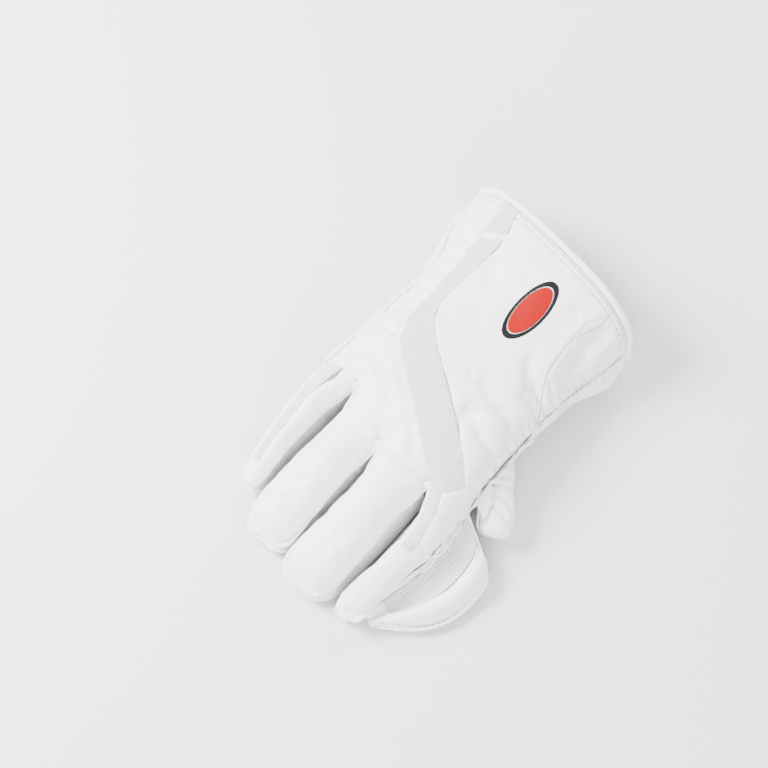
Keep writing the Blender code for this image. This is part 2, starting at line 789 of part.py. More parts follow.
def make_cuff_binding():
    """The rolled binding round the cuff's mouth, a closed tube just past the panels' ends."""
    left, right = edge_x(1.0, "left"), edge_x(1.0, "right")
    path = []
    for share in arc_shares(20)[1:-1]:
        x = mix(left, right, share)
        path.append((hand_back_point(1.0, x) + hand_back_point(1.0, x, True)) / 2)
    for share in [0.04] + [mix(0.12, 0.88, k / 16) for k in range(17)] + [0.96]:
        place = 1 - share
        path.append((cuff_palm_point(place, 1.0) + cuff_palm_point(place, 1.0, True)) / 2)
    ring = bpy.data.curves.new("cuff_binding", "CURVE")
    ring.dimensions = "3D"
    ring.bevel_depth = BINDING_RADIUS
    ring.bevel_resolution = 2
    line = ring.splines.new("POLY")
    line.points.add(len(path) - 1)
    line.use_cyclic_u = True
    for k, point in enumerate(path):
        tangent = (path[(k + 1) % len(path)] - path[k - 1]).normalized()
        outward = (Vector((0, 1, 0)) - tangent * tangent.y).normalized()
        spot = point + outward * (BINDING_RADIUS + 2 * CLEARANCE)
        line.points[k].co = (spot.x, spot.y, max(spot.z, BINDING_RADIUS), 1)
    add_object("cuff_binding", ring, "binding_leather")


def thumb_frame(at):
    """The thumb's centre, its outward and upward directions, its half sizes and its heading."""

    def centre(place):
        x = read(THUMB, "across", place) * HAND_WIDTH / 2
        y = lengthwise(read(THUMB, "along", place))
        return Vector((x, y, read(THUMB, "height", place) * HEIGHT))

    step = 0.01
    heading = (centre(min(at + step, 1)) - centre(max(at - step, 0))).normalized()
    outward = Vector((-heading.y, heading.x, 0)).normalized()
    upward = outward.cross(heading).normalized()
    if upward.z < 0:
        upward.negate()
    half_width = read(THUMB, "width", at) * THUMB_WIDTH / 2
    half_depth = read(THUMB, "depth", at) * THUMB_DEPTH / 2
    return centre(at), outward, upward, half_width, half_depth, heading


def thumb_point(at, degrees, cap=0.0, inner=False):
    """A point of the thumb at an angle round it. cap runs from 0 to 1 over its rounded tip."""
    centre, outward, upward, half_width, half_depth, heading = thumb_frame(at)
    pad = THUMB_PAD if inner else 0.0
    reach = THUMB_WIDTH * THUMB_CAP - pad
    round_off = max(1 - cap**2.6, 0.0) ** (1 / 2.6)
    wide = max((half_width - pad) * round_off, THUMB_TIP_HOLE)
    deep = max((half_depth - pad) * round_off, THUMB_TIP_HOLE)
    cos, sin = math.cos(math.radians(degrees)), math.sin(math.radians(degrees))
    bulge = (abs(cos) ** 2.3 + abs(sin) ** 2.3) ** (-1 / 2.3)
    return centre + heading * reach * cap + outward * wide * cos * bulge + upward * deep * sin * bulge


def make_thumb():
    """The thumb: a padded white back and a pimpled face, seamed along two lines."""
    stations = [(k / 6, 0.0) for k in range(7)]
    stations += [(1.0, math.sin(math.pi / 2 * k / 4)) for k in range(1, 5)]
    gap = math.degrees(CLEARANCE / (THUMB_WIDTH / 2))
    sides = (
        ("thumb_back", THUMB_BACK_FROM + gap, THUMB_BACK_TO - gap, "white_leather", 10),
        ("thumb_palm", THUMB_BACK_TO + gap, THUMB_BACK_FROM + 360 - gap, "pimpled_rubber", 7),
    )
    for name, start, end, material, count in sides:
        angles = [mix(start, end, k / count) for k in range(count + 1)]
        outer = [[thumb_point(at, angle, cap) for angle in angles] for at, cap in stations]
        inner = [[thumb_point(at, angle, cap, True) for angle in angles] for at, cap in stations]
        padded_wall(name, outer, inner, material)


def make_thumb_gusset():
    """The leather that closes the hand between the index side's seam and the thumb."""
    outer, inner = [], []
    for k in range(6):
        at = mix(0.55, 1.0, k / 5)
        along = mix(0.458, 0.398, k / 5)
        seam = hand_back_point(along, edge_x(along, "right"))
        seam += Vector((2 * CLEARANCE, 0, -2 * CLEARANCE))
        centre = thumb_frame(at)[0]
        rests = []
        for angle in (mix(98, 116, k / 5), mix(107, 125, k / 5)):
            rest = thumb_point(at, angle)
            rests.append(rest + (rest - centre).normalized() * 3 * CLEARANCE)
        bulge = Vector((0.6, 0, 0.8)) * GUSSET_BULGE * math.sin(math.pi * k / 5)
        under = seam - Vector((0, 0, SIDE_WALL))
        outer.append([seam, mix(seam, rests[0], 0.5) + bulge, rests[0]])
        inner.append([under, mix(under, rests[1], 0.5) + bulge, rests[1]])
    padded_wall("thumb_gusset", outer, inner, "white_leather")


def index_wall_point(along, height):
    """A point on the outside of the index finger's wall, or of its lead along the hand."""
    t = max((FINGER_ROOT - along) / (FINGER_ROOT - FINGERS[3]["tip"]), 0.0)
    top = finger_rim(3, 1.0, t) if along < FINGER_ROOT else hand_rim(along, "right")
    foot = wall_foot(3, 1.0, along, t)
    return mix(top, foot, max((top.z - height) / (top.z - foot.z), 0.0))


def web_edge_point(at):
    x = read(WEB_EDGE, "across", at) * HAND_WIDTH / 2
    y = lengthwise(read(WEB_EDGE, "along", at))
    return Vector((x, y, read(WEB_EDGE, "height", at) * HEIGHT))


def web_point(p, q, inner=False):
    """A point of the web: p from the index fingertip to the thumb, q from the index outwards."""
    along = mix(WEB_FROM, WEB_TO, p)
    slit = WEB_SLIT * math.exp(-(((p - WEB_SLIT_AT) / 0.13) ** 2))
    top = height_of(along, "seam") - WEB_SHEET
    wall = index_wall_point(along, top)
    start = Vector((wall.x + WEB_STANDOFF + slit, wall.y, top))
    end = web_edge_point(p)
    point = mix(start, end, q)
    width = min((end - start).length / WEB_FULL_FROM, 1.0) * (1 - 0.8 * smooth((p - 0.78) / 0.22))
    point.z -= WEB_DIP * width * math.sin(math.pi * min(max(q, 0.0) / 0.6, 1.0))
    point.z += WEB_RIM_BULGE * width * math.sin(math.pi * min(max((q - 0.5) / 0.5, 0.0), 1.0))
    if inner:
        point.z -= WEB_SHEET
    return point


def make_web():
    """The web between index finger and thumb: a white back with a vent, and a pimpled facing."""
    vent = WEB_VENT
    rows = [(0.0, False), (0.08, False), (vent["from"] - 0.006, False)]
    rows += [(mix(vent["from"], vent["to"], k / 8), True) for k in range(9)]
    rows += [(vent["to"] + 0.006, False), (1.0, False)]

    def columns(p):
        outside = [mix(vent["outer"], 1.0, k / 4) for k in range(1, 5)]
        return [0.0], (vent["inner"], vent["outer"]), outside

    inlaid_wall("web_back", "web_vent", web_point, rows, columns, 4, 0.009)

    def under(p, q, depth):
        return web_point(p, q) - Vector((0, 0, WEB_SHEET + 2 * CLEARANCE + depth))

    ps = [p for p, cut in rows]
    qs = [mix(vent["outer"], 1.0, k / 4) for k in range(5)]
    outer = [[under(p, q, 0.0) for q in qs] for p in ps]
    inner = [[under(p, q, WEB_FACING) for q in qs] for p in ps]
    padded_wall("web_facing", outer, inner, "pimpled_rubber")
    ps = [mix(vent["from"], vent["to"], k / 8) for k in range(4, 7)]
    reach = mix(vent["inner"] + 0.009, vent["outer"] - 0.009, 1.0)
    qs = [0.0, vent["inner"]] + [mix(vent["inner"], reach, k / 4) for k in range(1, 5)]
    outer = [[under(p, q, 0.0) for q in qs] for p in ps]
    inner = [[under(p, q, WEB_FACING) for q in qs] for p in ps]
    padded_wall("web_strap", outer, inner, "pimpled_rubber")


for leftover in list(bpy.data.objects):
    bpy.data.objects.remove(leftover)
glove = bpy.data.collections.new("wicketkeeping_glove")
bpy.context.scene.collection.children.link(glove)
origin = bpy.data.objects.new("glove_origin", None)
glove.objects.link(origin)

make_back_panel()
make_finger_backs()
make_palm()
make_finger_walls()
make_wrist_gusset()
make_cuff_palm()
make_cuff_binding()
make_thumb()
make_thumb_gusset()
make_web()

# The glove stands on the world's floor, centred over the world's origin
bpy.context.view_layer.update()
depsgraph = bpy.context.evaluated_depsgraph_get()
spots = []
for obj in glove.objects:
    if obj.type != "EMPTY":
        solid = obj.evaluated_get(depsgraph)
        spots += [obj.matrix_world @ vertex.co for vertex in solid.to_mesh().vertices]
        solid.to_mesh_clear()
lowest = [min(spot[k] for spot in spots) for k in range(3)]
highest = [max(spot[k] for spot in spots) for k in range(3)]
origin.location = (-(lowest[0] + highest[0]) / 2, -(lowest[1] + highest[1]) / 2, -lowest[2])
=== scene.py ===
import math

import bmesh
import bpy
import numpy as np
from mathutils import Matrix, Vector, noise
from mathutils.bvhtree import BVHTree
from mathutils.kdtree import KDTree


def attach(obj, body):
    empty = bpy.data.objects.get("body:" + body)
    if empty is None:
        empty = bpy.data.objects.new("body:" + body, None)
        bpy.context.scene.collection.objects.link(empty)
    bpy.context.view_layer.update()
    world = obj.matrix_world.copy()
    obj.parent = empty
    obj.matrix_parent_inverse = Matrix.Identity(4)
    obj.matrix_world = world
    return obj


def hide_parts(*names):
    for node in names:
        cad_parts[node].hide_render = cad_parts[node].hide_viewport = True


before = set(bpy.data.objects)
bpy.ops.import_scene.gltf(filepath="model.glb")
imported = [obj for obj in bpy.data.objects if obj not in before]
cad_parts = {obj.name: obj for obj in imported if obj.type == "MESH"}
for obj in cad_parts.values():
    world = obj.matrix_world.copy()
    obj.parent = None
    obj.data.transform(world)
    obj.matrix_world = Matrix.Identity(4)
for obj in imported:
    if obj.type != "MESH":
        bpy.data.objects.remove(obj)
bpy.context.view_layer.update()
bpy.ops.object.select_all(action="DESELECT")

# The floor is a wide pale sheet that the glove lies on, palm down.
# It isn't part of the glove.
FLOOR_SIZE = 8.0
FLOOR_GREY = (0.70, 0.71, 0.73, 1)
FLOOR_ROUGHNESS = 0.6

bpy.ops.mesh.primitive_plane_add(size=FLOOR_SIZE, location=(0, 0, 0))
floor = bpy.context.object
floor.name = "studio_floor"
floor_paint = bpy.data.materials.new("studio_floor")
floor_paint.use_nodes = True
floor_shader = floor_paint.node_tree.nodes["Principled BSDF"]
floor_shader.inputs["Base Color"].default_value = FLOOR_GREY
floor_shader.inputs["Roughness"].default_value = FLOOR_ROUGHNESS
floor.data.materials.append(floor_paint)

# Soft studio light: a strong box on the little finger's side, a weaker one on the thumb's side,
# a third behind the cuff and a pale surround, for the even shading on the white leather.
LIGHTS = (
    {"name": "key", "size": 0.6, "power": 84, "place": (-0.95, -0.35, 0.95)},
    {"name": "fill", "size": 1.1, "power": 36, "place": (0.85, -0.75, 0.75)},
    {"name": "back", "size": 0.8, "power": 20, "place": (-0.15, 1.05, 0.7)},
)
ROOM_COLOUR = (0.93, 0.95, 1.0, 1)
ROOM_STRENGTH = 0.9


def added(name, data):
    """A new object in the scene."""
    made = bpy.data.objects.new(name, data)
    bpy.context.collection.objects.link(made)
    return made


for lamp in LIGHTS:
    data = bpy.data.lights.new(lamp["name"], "AREA")
    data.size = lamp["size"]
    data.energy = lamp["power"]
    light = added(lamp["name"], data)
    light.location = lamp["place"]
    light.rotation_euler = Vector(lamp["place"]).to_track_quat("Z", "Y").to_euler()
world = bpy.data.worlds.new("pale_room")
world.use_nodes = True
room = world.node_tree.nodes["Background"]
room.inputs["Color"].default_value = ROOM_COLOUR
room.inputs["Strength"].default_value = ROOM_STRENGTH
bpy.context.scene.world = world

# The camera looks down on the back of the hand from the fingers' side, as the photograph does.
# The glove fills about half of the picture's width.
CAMERA_AZIMUTH = math.radians(40)
CAMERA_ELEVATION = math.radians(68)
CAMERA_DISTANCE = 1.372
CAMERA_AIM = Vector((-0.0529, -0.0062, 0.030))
FIELD_OF_VIEW = math.radians(24)
SENSOR_WIDTH = 36

camera_data = bpy.data.cameras.new("camera")
camera_data.sensor_width = SENSOR_WIDTH
camera_data.lens = SENSOR_WIDTH / 2 / math.tan(FIELD_OF_VIEW / 2)
camera = added("camera", camera_data)
towards = Vector((
    math.sin(CAMERA_AZIMUTH) * math.cos(CAMERA_ELEVATION),
    -math.cos(CAMERA_AZIMUTH) * math.cos(CAMERA_ELEVATION),
    math.sin(CAMERA_ELEVATION),
))
camera.location = CAMERA_AIM + towards * CAMERA_DISTANCE
camera.rotation_euler = towards.to_track_quat("Z", "Y").to_euler()
bpy.context.scene.camera = camera

# The back of the glove: one soft skin of white padded leather over the hand, the cuff and the
# four fingers. Its padding is a few millimetres of foam sewn in behind the leather, so it is
# rounded at every edge and dips a little at each seam.
FINGERS = ("little", "ring", "middle", "index")
WHITE_LEATHER = ((0.87, 0.875, 0.865, 1), (0.79, 0.785, 0.76, 1))
LEATHER_ROUGHNESS = 0.42
LEATHER_SHEEN = 0.08
LEATHER_BUMP = (0.25, 0.0005)
LEATHER_PEBBLES = 1100.0
LEATHER_CREASES = 95.0
LEATHER_TONES = 22.0
WELD = 2e-5
QUAD_ANGLE = math.radians(50)
QUAD_SHAPE = math.radians(60)
SHARP_ANGLE = math.radians(48)
SKIN_VOXEL = 0.0012

# The hollow: its axis as x and z, the y where it starts, and what counts as facing in or down
HAND_AXIS = (-0.013, 0.035)
HAND_START = -0.02
FACING_IN = 0.3
FACING_DOWN = -0.25

# The mouth's edge in millimetres. Near it the leather is held still by the binding.
MOUTH = ((-97.5, 158.3), (-83.3, 158.5), (-55, 155), (-26.7, 150.9), (1.6, 146.7), (29.9, 142.5),
         (58.2, 137.7), (72.4, 133.3))
MOUTH_STILL = 0.004
MOUTH_LOOSE = 0.018
MOUTH_GIVE = 0.05

# How far a stroke reaches in half widths, and how gathers drift along their line
STROKE_REACH = 2.6
GATHER_DRIFT = 0.45
GATHER_GRAIN = 90

# Creases run where the noise is near 0, and only in patches
CREASE_WIDTH = 0.13
PATCH_GRAIN = 0.55
PATCH_SHIFT = (7, 3, 1)
PATCH_CONTRAST = 2.2
PATCH_COVER = 0.45


def pick(*pieces):
    """Selects these pieces alone."""
    bpy.ops.object.select_all(action="DESELECT")
    for piece in pieces:
        piece.select_set(True)
    bpy.context.view_layer.objects.active = pieces[0]


def copy_of(name, solid, crease=0.6):
    """A copy of a CAD node as clean quads, with its sharp edges creased."""
    piece = added(name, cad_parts[solid].data.copy())
    piece.data.materials.clear()
    pick(piece)
    bpy.ops.object.mode_set(mode="EDIT")
    bpy.ops.mesh.select_mode(type="EDGE")
    bpy.ops.mesh.select_all(action="SELECT")
    bpy.ops.mesh.remove_doubles(threshold=WELD)
    bpy.ops.mesh.customdata_custom_splitnormals_clear()
    bpy.ops.mesh.tris_convert_to_quads(face_threshold=QUAD_ANGLE, shape_threshold=QUAD_SHAPE)
    bpy.ops.mesh.select_all(action="DESELECT")
    bpy.ops.mesh.edges_select_sharp(sharpness=SHARP_ANGLE)
    bpy.ops.transform.edge_crease(value=crease)
    bpy.ops.object.mode_set(mode="OBJECT")
    return piece


def finish_with(piece, kind, **settings):
    """Adds a modifier to a piece and applies it."""
    pick(piece)
    modifier = piece.modifiers.new(kind.lower(), kind)
    for key, value in settings.items():
        setattr(modifier, key, value)
    bpy.ops.object.modifier_apply(modifier=modifier.name)


def rounded(piece, levels=2):
    finish_with(piece, "SUBSURF", levels=levels, render_levels=levels)
    return piece


def points_of(piece):
    """The piece's vertices and their normals as arrays."""
    count = len(piece.data.vertices)
    places, normals = np.empty(count * 3), np.empty(count * 3)
    piece.data.vertices.foreach_get("co", places)
    piece.data.vertices.foreach_get("normal", normals)
    return places.reshape(-1, 3), normals.reshape(-1, 3)


def set_points(piece, places):
    piece.data.vertices.foreach_set("co", places.ravel())
    piece.data.update()


def tree_of(piece):
    mesh = piece.data
    corners = [vertex.co.copy() for vertex in mesh.vertices]
    return BVHTree.FromPolygons(corners, [tuple(face.vertices) for face in mesh.polygons])


def smooth_line(points, step=0.001):
    """A smooth line through points given in millimetres, with a point every step."""
    keys = [np.array(point, float) / 1000 for point in points]
    keys = [2 * keys[0] - keys[1]] + keys + [2 * keys[-1] - keys[-2]]
    line = []
    for a, b, c, d in zip(keys, keys[1:], keys[2:], keys[3:]):
        count = max(int(np.linalg.norm(c - b) / step), 1)
        for k in range(count):
            t = k / count
            line.append(0.5 * (2 * b + (c - a) * t + (2 * a - 5 * b + 4 * c - d) * t**2
                               + (3 * b - a - 3 * c + d) * t**3))
    line.append(keys[-2])
    return np.array(line)


def laid_on(tree, line, down=(0, 0, -1), above=0.2):
    """Drops a flat line onto a surface. Gives the places and the surface's normals there."""
    down = Vector(down).normalized()
    places, normals = [], []
    for point in line:
        start = Vector((point[0], point[1], point[2] if len(point) > 2 else 0.0)) - down * above
        spot, normal, _, _ = tree.ray_cast(start, down)
        if spot is None:
            continue
        places.append(spot)
        normals.append(normal if normal.dot(down) < 0 else -normal)
    return np.array(places), np.array(normals)


def nearest_on(places, line, reach):
    """For the places within reach of a line: their indices, distances and stations along it."""
    low, high = line.min(0) - reach, line.max(0) + reach
    close = np.where(((places > low) & (places < high)).all(1))[0]
    tree = KDTree(len(line))
    for k, point in enumerate(line):
        tree.insert(point, k)
    tree.balance()
    found = [tree.find(places[k])[1:] for k in close]
    stations = np.array([k for k, _ in found], int)
    away = np.array([distance for _, distance in found])
    return close, away, stations


def stations_of(line):
    """How far along a line each of its points lies."""
    return np.concatenate([[0], np.cumsum(np.linalg.norm(np.diff(line, axis=0), axis=1))])


def sides_of(piece, under):
    """1 on the outside of a shell round the hand, -1 on its inside, and near 0 in the binding.

    Where under is true, all that faces down counts as the inside.
    """
    places, normals = points_of(piece)
    inward = np.array((HAND_AXIS[0], 0, HAND_AXIS[1])) - places * np.array((1, 0, 1))
    inward /= np.linalg.norm(inward, axis=1)[:, None]
    inside = (places[:, 1] > HAND_START) & ((normals * inward).sum(1) > FACING_IN)
    if under:
        inside |= normals[:, 2] < FACING_DOWN
    mouth = np.array(MOUTH) / 1000
    from_mouth = np.interp(places[:, 0], mouth[:, 0], mouth[:, 1]) - places[:, 1]
    loose = np.clip((from_mouth - MOUTH_STILL) / (MOUTH_LOOSE - MOUTH_STILL), MOUTH_GIVE, 1)
    return np.where(inside, -loose, loose)


def drawn(tree, strokes, down=(0, 0, -1), scale=1.0):
    """Strokes whose lines, given in millimetres, are laid on a surface."""
    return [(laid_on(tree, smooth_line(line), down)[0], depth * scale, width)
            for line, depth, width in strokes]


def worked(piece, strokes, sides=1.0):
    """Works grooves and ridges into a piece. A stroke is a line, a depth and a half width.

    A fourth value is the pitch of gathers, which then cross the line instead of following it.
    """
    places, normals = points_of(piece)
    moves = np.zeros(len(places))
    for line, depth, width, *pitch in strokes:
        close, away, stations = nearest_on(places, line, STROKE_REACH * width)
        if not len(close):
            continue
        share = np.exp(-((away / width) ** 2))
        if pitch:
            drift = [GATHER_DRIFT * noise.noise(Vector(point) * GATHER_GRAIN) for point in line]
            turns = stations_of(line) / pitch[0] + np.array(drift)
            share *= np.sin(2 * math.pi * turns)[stations]
        moves[close] -= depth * share
    set_points(piece, places + normals * (moves * sides)[:, None])


def uneven(piece, amounts, sides=1.0):
    """The small unevenness of stuffed leather: a list of (how deep, how far apart)."""
    places, normals = points_of(piece)
    moves = np.zeros(len(places))
    for depth, pitch in amounts:
        moves += depth * np.array([noise.noise(Vector(place) / pitch) for place in places])
    set_points(piece, places + normals * (moves * sides)[:, None])


def creased(piece, depth, pitch, sides=1.0):
    """Soft creases that wander over the piece in patches, with plump leather between them."""
    places, normals = points_of(piece)
    moves = []
    for place in places:
        point = Vector(place) / pitch
        bend = noise.noise(point)
        patch = noise.noise(point * PATCH_GRAIN + Vector(PATCH_SHIFT))
        cover = min(max(patch * PATCH_CONTRAST + PATCH_COVER, 0), 1)
        moves.append(depth * math.exp(-((bend / CREASE_WIDTH) ** 2)) * cover)
    set_points(piece, places - normals * (np.array(moves) * sides)[:, None])


parts = [rounded(copy_of("back_leather", "back_panel"))]
parts += [rounded(copy_of("part_" + finger, "finger_back_" + finger)) for finger in FINGERS]
pick(*parts)
bpy.ops.object.join()
back_leather = bpy.context.object
finish_with(back_leather, "REMESH", mode="VOXEL", voxel_size=SKIN_VOXEL, use_smooth_shade=True)
finish_with(back_leather, "SMOOTH", factor=0.5, iterations=6)

# Lines on the back in millimetres, seen from above, each with its depth and half width
BACK_STROKES = (
    # the seam across the middle finger's root, a groove with a raised lip behind it
    ([(-17, -55), (-8, -57.5), (0, -58), (8, -56.5), (16, -55), (25, -54)], 0.0013, 0.0014),
    ([(-16, -52), (-8, -54), (0, -54.5), (8, -53), (16, -51.5), (24, -51)], -0.0007, 0.0016),
    # shallow creases where the little and the ring finger bend
    ([(-93, -32), (-80, -33), (-68, -29)], 0.0010, 0.0045),
    ([(-56, -47), (-42, -52), (-28, -56)], 0.0009, 0.005),
    ([(-62, -84), (-48, -87), (-32, -84)], 0.0007, 0.006),
    ([(-14, -88), (0, -92), (16, -88)], 0.0007, 0.006),
    ([(38, -92), (46, -95), (54, -90)], 0.0006, 0.005),
    # folds over the knuckles and the hand
    ([(-86, -4), (-66, -2), (-48, -12), (-30, -30)], 0.0008, 0.006),
    ([(-40, -2), (-22, -14), (-6, -30), (6, -44)], 0.0007, 0.005),
    ([(-84, 26), (-70, 22), (-58, 24)], 0.0012, 0.004),
    ([(20, 8), (36, -2), (50, -6)], 0.0012, 0.005),
    ([(14, 30), (34, 24), (54, 28)], 0.0010, 0.006),
    # the waist at the wrist and the dent beside the thumb-side seam of the cuff
    ([(-84, 52), (-72, 48), (-60, 52)], 0.0016, 0.005),
    ([(-86, 70), (-76, 66), (-66, 70)], 0.0012, 0.004),
    ([(-80, 92), (-72, 86), (-66, 88)], 0.0014, 0.004),
    ([(57, 128), (55, 110), (54, 94), (57, 76)], 0.0026, 0.009),
    ([(30, 66), (40, 58), (50, 50)], 0.0012, 0.006),
    ([(36, 130), (30, 112), (31, 92)], 0.0009, 0.007),
    ([(58, 40), (50, 44), (40, 44)], 0.0012, 0.0025),
    ([(59, 48), (52, 53), (44, 55)], 0.0012, 0.0025),
    ([(60, 57), (54, 62), (48, 66)], 0.0010, 0.0025),
    ([(-84, 60), (-76, 58), (-68, 61)], 0.0012, 0.0025),
    ([(-62, 112), (-70, 104), (-80, 100)], 0.0012, 0.0035),
    ([(-88, 122), (-78, 116), (-70, 118)], 0.0012, 0.004),
    ([(-46, 138), (-44, 118), (-34, 96)], 0.0008, 0.008),
)
PANEL_SEAM = [(51, 139), (48.6, 121.8), (41, 103.8), (40.4, 84), (43, 68), (50, 54), (57.5, 41)]
THUMB_SIDE = [(58, -35), (57, -19), (57, -3), (57, 13), (57.6, 30), (58.2, 46), (59.2, 62), (61, 76),
              (63, 87), (65, 97)]
LITTLE_SIDE = [(-92, -9), (-89.6, 13), (-88.4, 30), (-87.3, 46), (-86.2, 62), (-84.6, 78), (-85, 94)]
STROKE_SCALE = 2.0

# Seams: how deep, how wide and, where the leather is gathered, the gathers' pitch. The long
# gathers of the hand end so many millimetres along its thumb side.
PANEL_GROOVE = (0.0007, 0.0012)
THUMB_SIDE_GATHERS = (0.0011, 0.006, 0.0085)
HAND_GATHERS = (0.0008, 0.010, 0.013)
HAND_GATHERS_END = 60
LITTLE_SIDE_GATHERS = (0.0007, 0.006, 0.011)
SKIN_CREASES = ((0.0019, 0.048), (0.0008, 0.021))
SKIN_UNEVEN = ((0.0014, 0.045), (0.0007, 0.019), (0.00018, 0.007))

skin_sides = sides_of(back_leather, True)
skin_tree = tree_of(back_leather)
thumb_side_line, _ = laid_on(skin_tree, smooth_line(THUMB_SIDE))
seams = [
    (laid_on(skin_tree, smooth_line(PANEL_SEAM))[0], *PANEL_GROOVE),
    (thumb_side_line, *THUMB_SIDE_GATHERS),
    (thumb_side_line[:HAND_GATHERS_END], *HAND_GATHERS),
    (laid_on(skin_tree, smooth_line(LITTLE_SIDE))[0], *LITTLE_SIDE_GATHERS),
]
worked(back_leather, drawn(skin_tree, BACK_STROKES, scale=STROKE_SCALE) + seams, skin_sides)
for depth, pitch in SKIN_CREASES:
    creased(back_leather, depth, pitch, skin_sides)
uneven(back_leather, SKIN_UNEVEN, skin_sides)


def surface_group(name, values=(), masks=()):
    """A shader node group for a surface in two colours, with what it is given and what it gives.

    Values and masks are the names of more numbers that it is given and gives.
    """
    group = bpy.data.node_groups.new(name, "ShaderNodeTree")
    given = [("Vector", "Vector"), ("Colour", "Color"), ("Shade", "Color")]
    given += [(value, "Float") for value in values]
    gives = [("Colour", "Color"), ("Height", "Float")]
    gives += [(mask, "Float") for mask in masks]
    for in_out, sockets in (("INPUT", given), ("OUTPUT", gives)):
        for label, kind in sockets:
            group.interface.new_socket(label, in_out=in_out, socket_type="NodeSocket" + kind)
    return group, group.nodes.new("NodeGroupInput").outputs, group.nodes.new("NodeGroupOutput").inputs


def node(tree, kind, links=(), **settings):
    """Adds a node and gives its sockets their values or links, as (socket, value) pairs."""
    made = tree.nodes.new(kind)
    for key, value in settings.items():
        setattr(made, key, value)
    for socket, source in links:
        if hasattr(source, "links"):
            tree.links.new(source, made.inputs[socket])
        else:
            made.inputs[socket].default_value = source
    return made


def maths(group, operation, *values):
    return node(group, "ShaderNodeMath", enumerate(values), operation=operation).outputs[0]


def spread(group, value, low, high, start=0.0, end=1.0):
    """Maps what lies between low and high to what lies between start and end."""
    return node(group, "ShaderNodeMapRange", enumerate((value, low, high, start, end))).outputs[0]


def speckle(group, given, scale, detail=2.0, distortion=0.0):
    """Soft speckles, so many to a metre."""
    return node(group, "ShaderNodeTexNoise", (
        ("Vector", given["Vector"]), ("Scale", scale), ("Detail", detail), ("Distortion", distortion),
    )).outputs["Fac"]


def two_tone(group, given, gives, share):
    """Mixes a group's two colours."""
    mixed = node(group, "ShaderNodeMix", ((0, share), (6, given["Colour"]), (7, given["Shade"])),
                 data_type="RGBA")
    group.links.new(mixed.outputs[2], gives["Colour"])


def leather_group():
    """Soft leather: a fine pebbled grain, longer creases and a faint uneven tone."""
    group, given, gives = surface_group("soft_leather", ["Roughness"], ["Roughness"])
    cells = node(group, "ShaderNodeTexVoronoi", (("Vector", given["Vector"]), ("Scale", LEATHER_PEBBLES)),
                 feature="DISTANCE_TO_EDGE")
    pebbles = maths(group, "MULTIPLY", spread(group, cells.outputs["Distance"], 0.0, 0.14), 0.35)
    height = maths(group, "ADD", pebbles, speckle(group, given, LEATHER_CREASES, 5.0, 0.9))
    tone = speckle(group, given, LEATHER_TONES, 4.0)
    two_tone(group, given, gives, spread(group, tone, 0.45, 0.75, 0.0, 0.45))
    roughness = maths(group, "MULTIPLY_ADD", tone, 0.12, given["Roughness"])
    group.links.new(roughness, gives["Roughness"])
    group.links.new(height, gives["Height"])
    return group


def surfaced(name, group, colours, bump, values=(), constants=()):
    """A material whose colour and relief come from a node group in these two colours.

    Values go to the group's other sockets, and constants to the shader's own.
    """
    made = bpy.data.materials.new(name)
    made.use_nodes = True
    tree = made.node_tree
    shader = tree.nodes["Principled BSDF"]
    where = node(tree, "ShaderNodeTexCoord").outputs["Object"]
    given = (("Vector", where), ("Colour", colours[0]), ("Shade", colours[1]), *values)
    surface = node(tree, "ShaderNodeGroup", given, node_tree=group).outputs
    strength, distance = bump
    relief = node(tree, "ShaderNodeBump", (
        ("Height", surface["Height"]), ("Strength", strength), ("Distance", distance),
    ))
    tree.links.new(surface["Colour"], shader.inputs["Base Color"])
    tree.links.new(relief.outputs["Normal"], shader.inputs["Normal"])
    for socket, value in constants:
        shader.inputs[socket].default_value = value
    if "Roughness" in surface:
        tree.links.new(surface["Roughness"], shader.inputs["Roughness"])
    return made


def placed(piece, material, slot, *nodes):
    """Gives a finished piece its material and its place in the glove."""
    piece.data.materials.clear()
    piece.data.materials.append(material)
    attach(piece, "root")
    if nodes:
        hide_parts(*nodes)


SOFT_LEATHER = leather_group()
white_leather = surfaced("back_leather", SOFT_LEATHER, WHITE_LEATHER, LEATHER_BUMP,
                         [("Roughness", LEATHER_ROUGHNESS)], [("Sheen Weight", LEATHER_SHEEN)])
placed(back_leather, white_leather, "white_leather", "back_panel",
       *["finger_back_" + finger for finger in FINGERS])

# The vents: knitted mesh, white yarn round small open holes, let into the back across the hand
# and along the little and the index finger. It lies a little lower than the leather beside it.
MESH_YARN = (0.70, 0.705, 0.735, 1)
# The holes' dark blue-grey is painted shade, for the shade inside the open holes
MESH_HOLE = (0.27, 0.27, 0.34, 1)
MESH_PITCH = 0.0021
MESH_HOLE_RADIUS = 0.24
MESH_HOLE_SOFTNESS = 0.12
MESH_TURN = math.radians(22)
MESH_BUMP = (0.6, 0.0005)
MESH_ROUGHNESS = 0.8
MESH_PATCHES = 120.0
VENT_SUNK = 0.0004
CHANNEL_DEPTH = 0.0011
CHANNEL_REACH = 0.004
CHANNEL_STEEPEST = 0.15
CHANNEL_SEARCH = 0.01


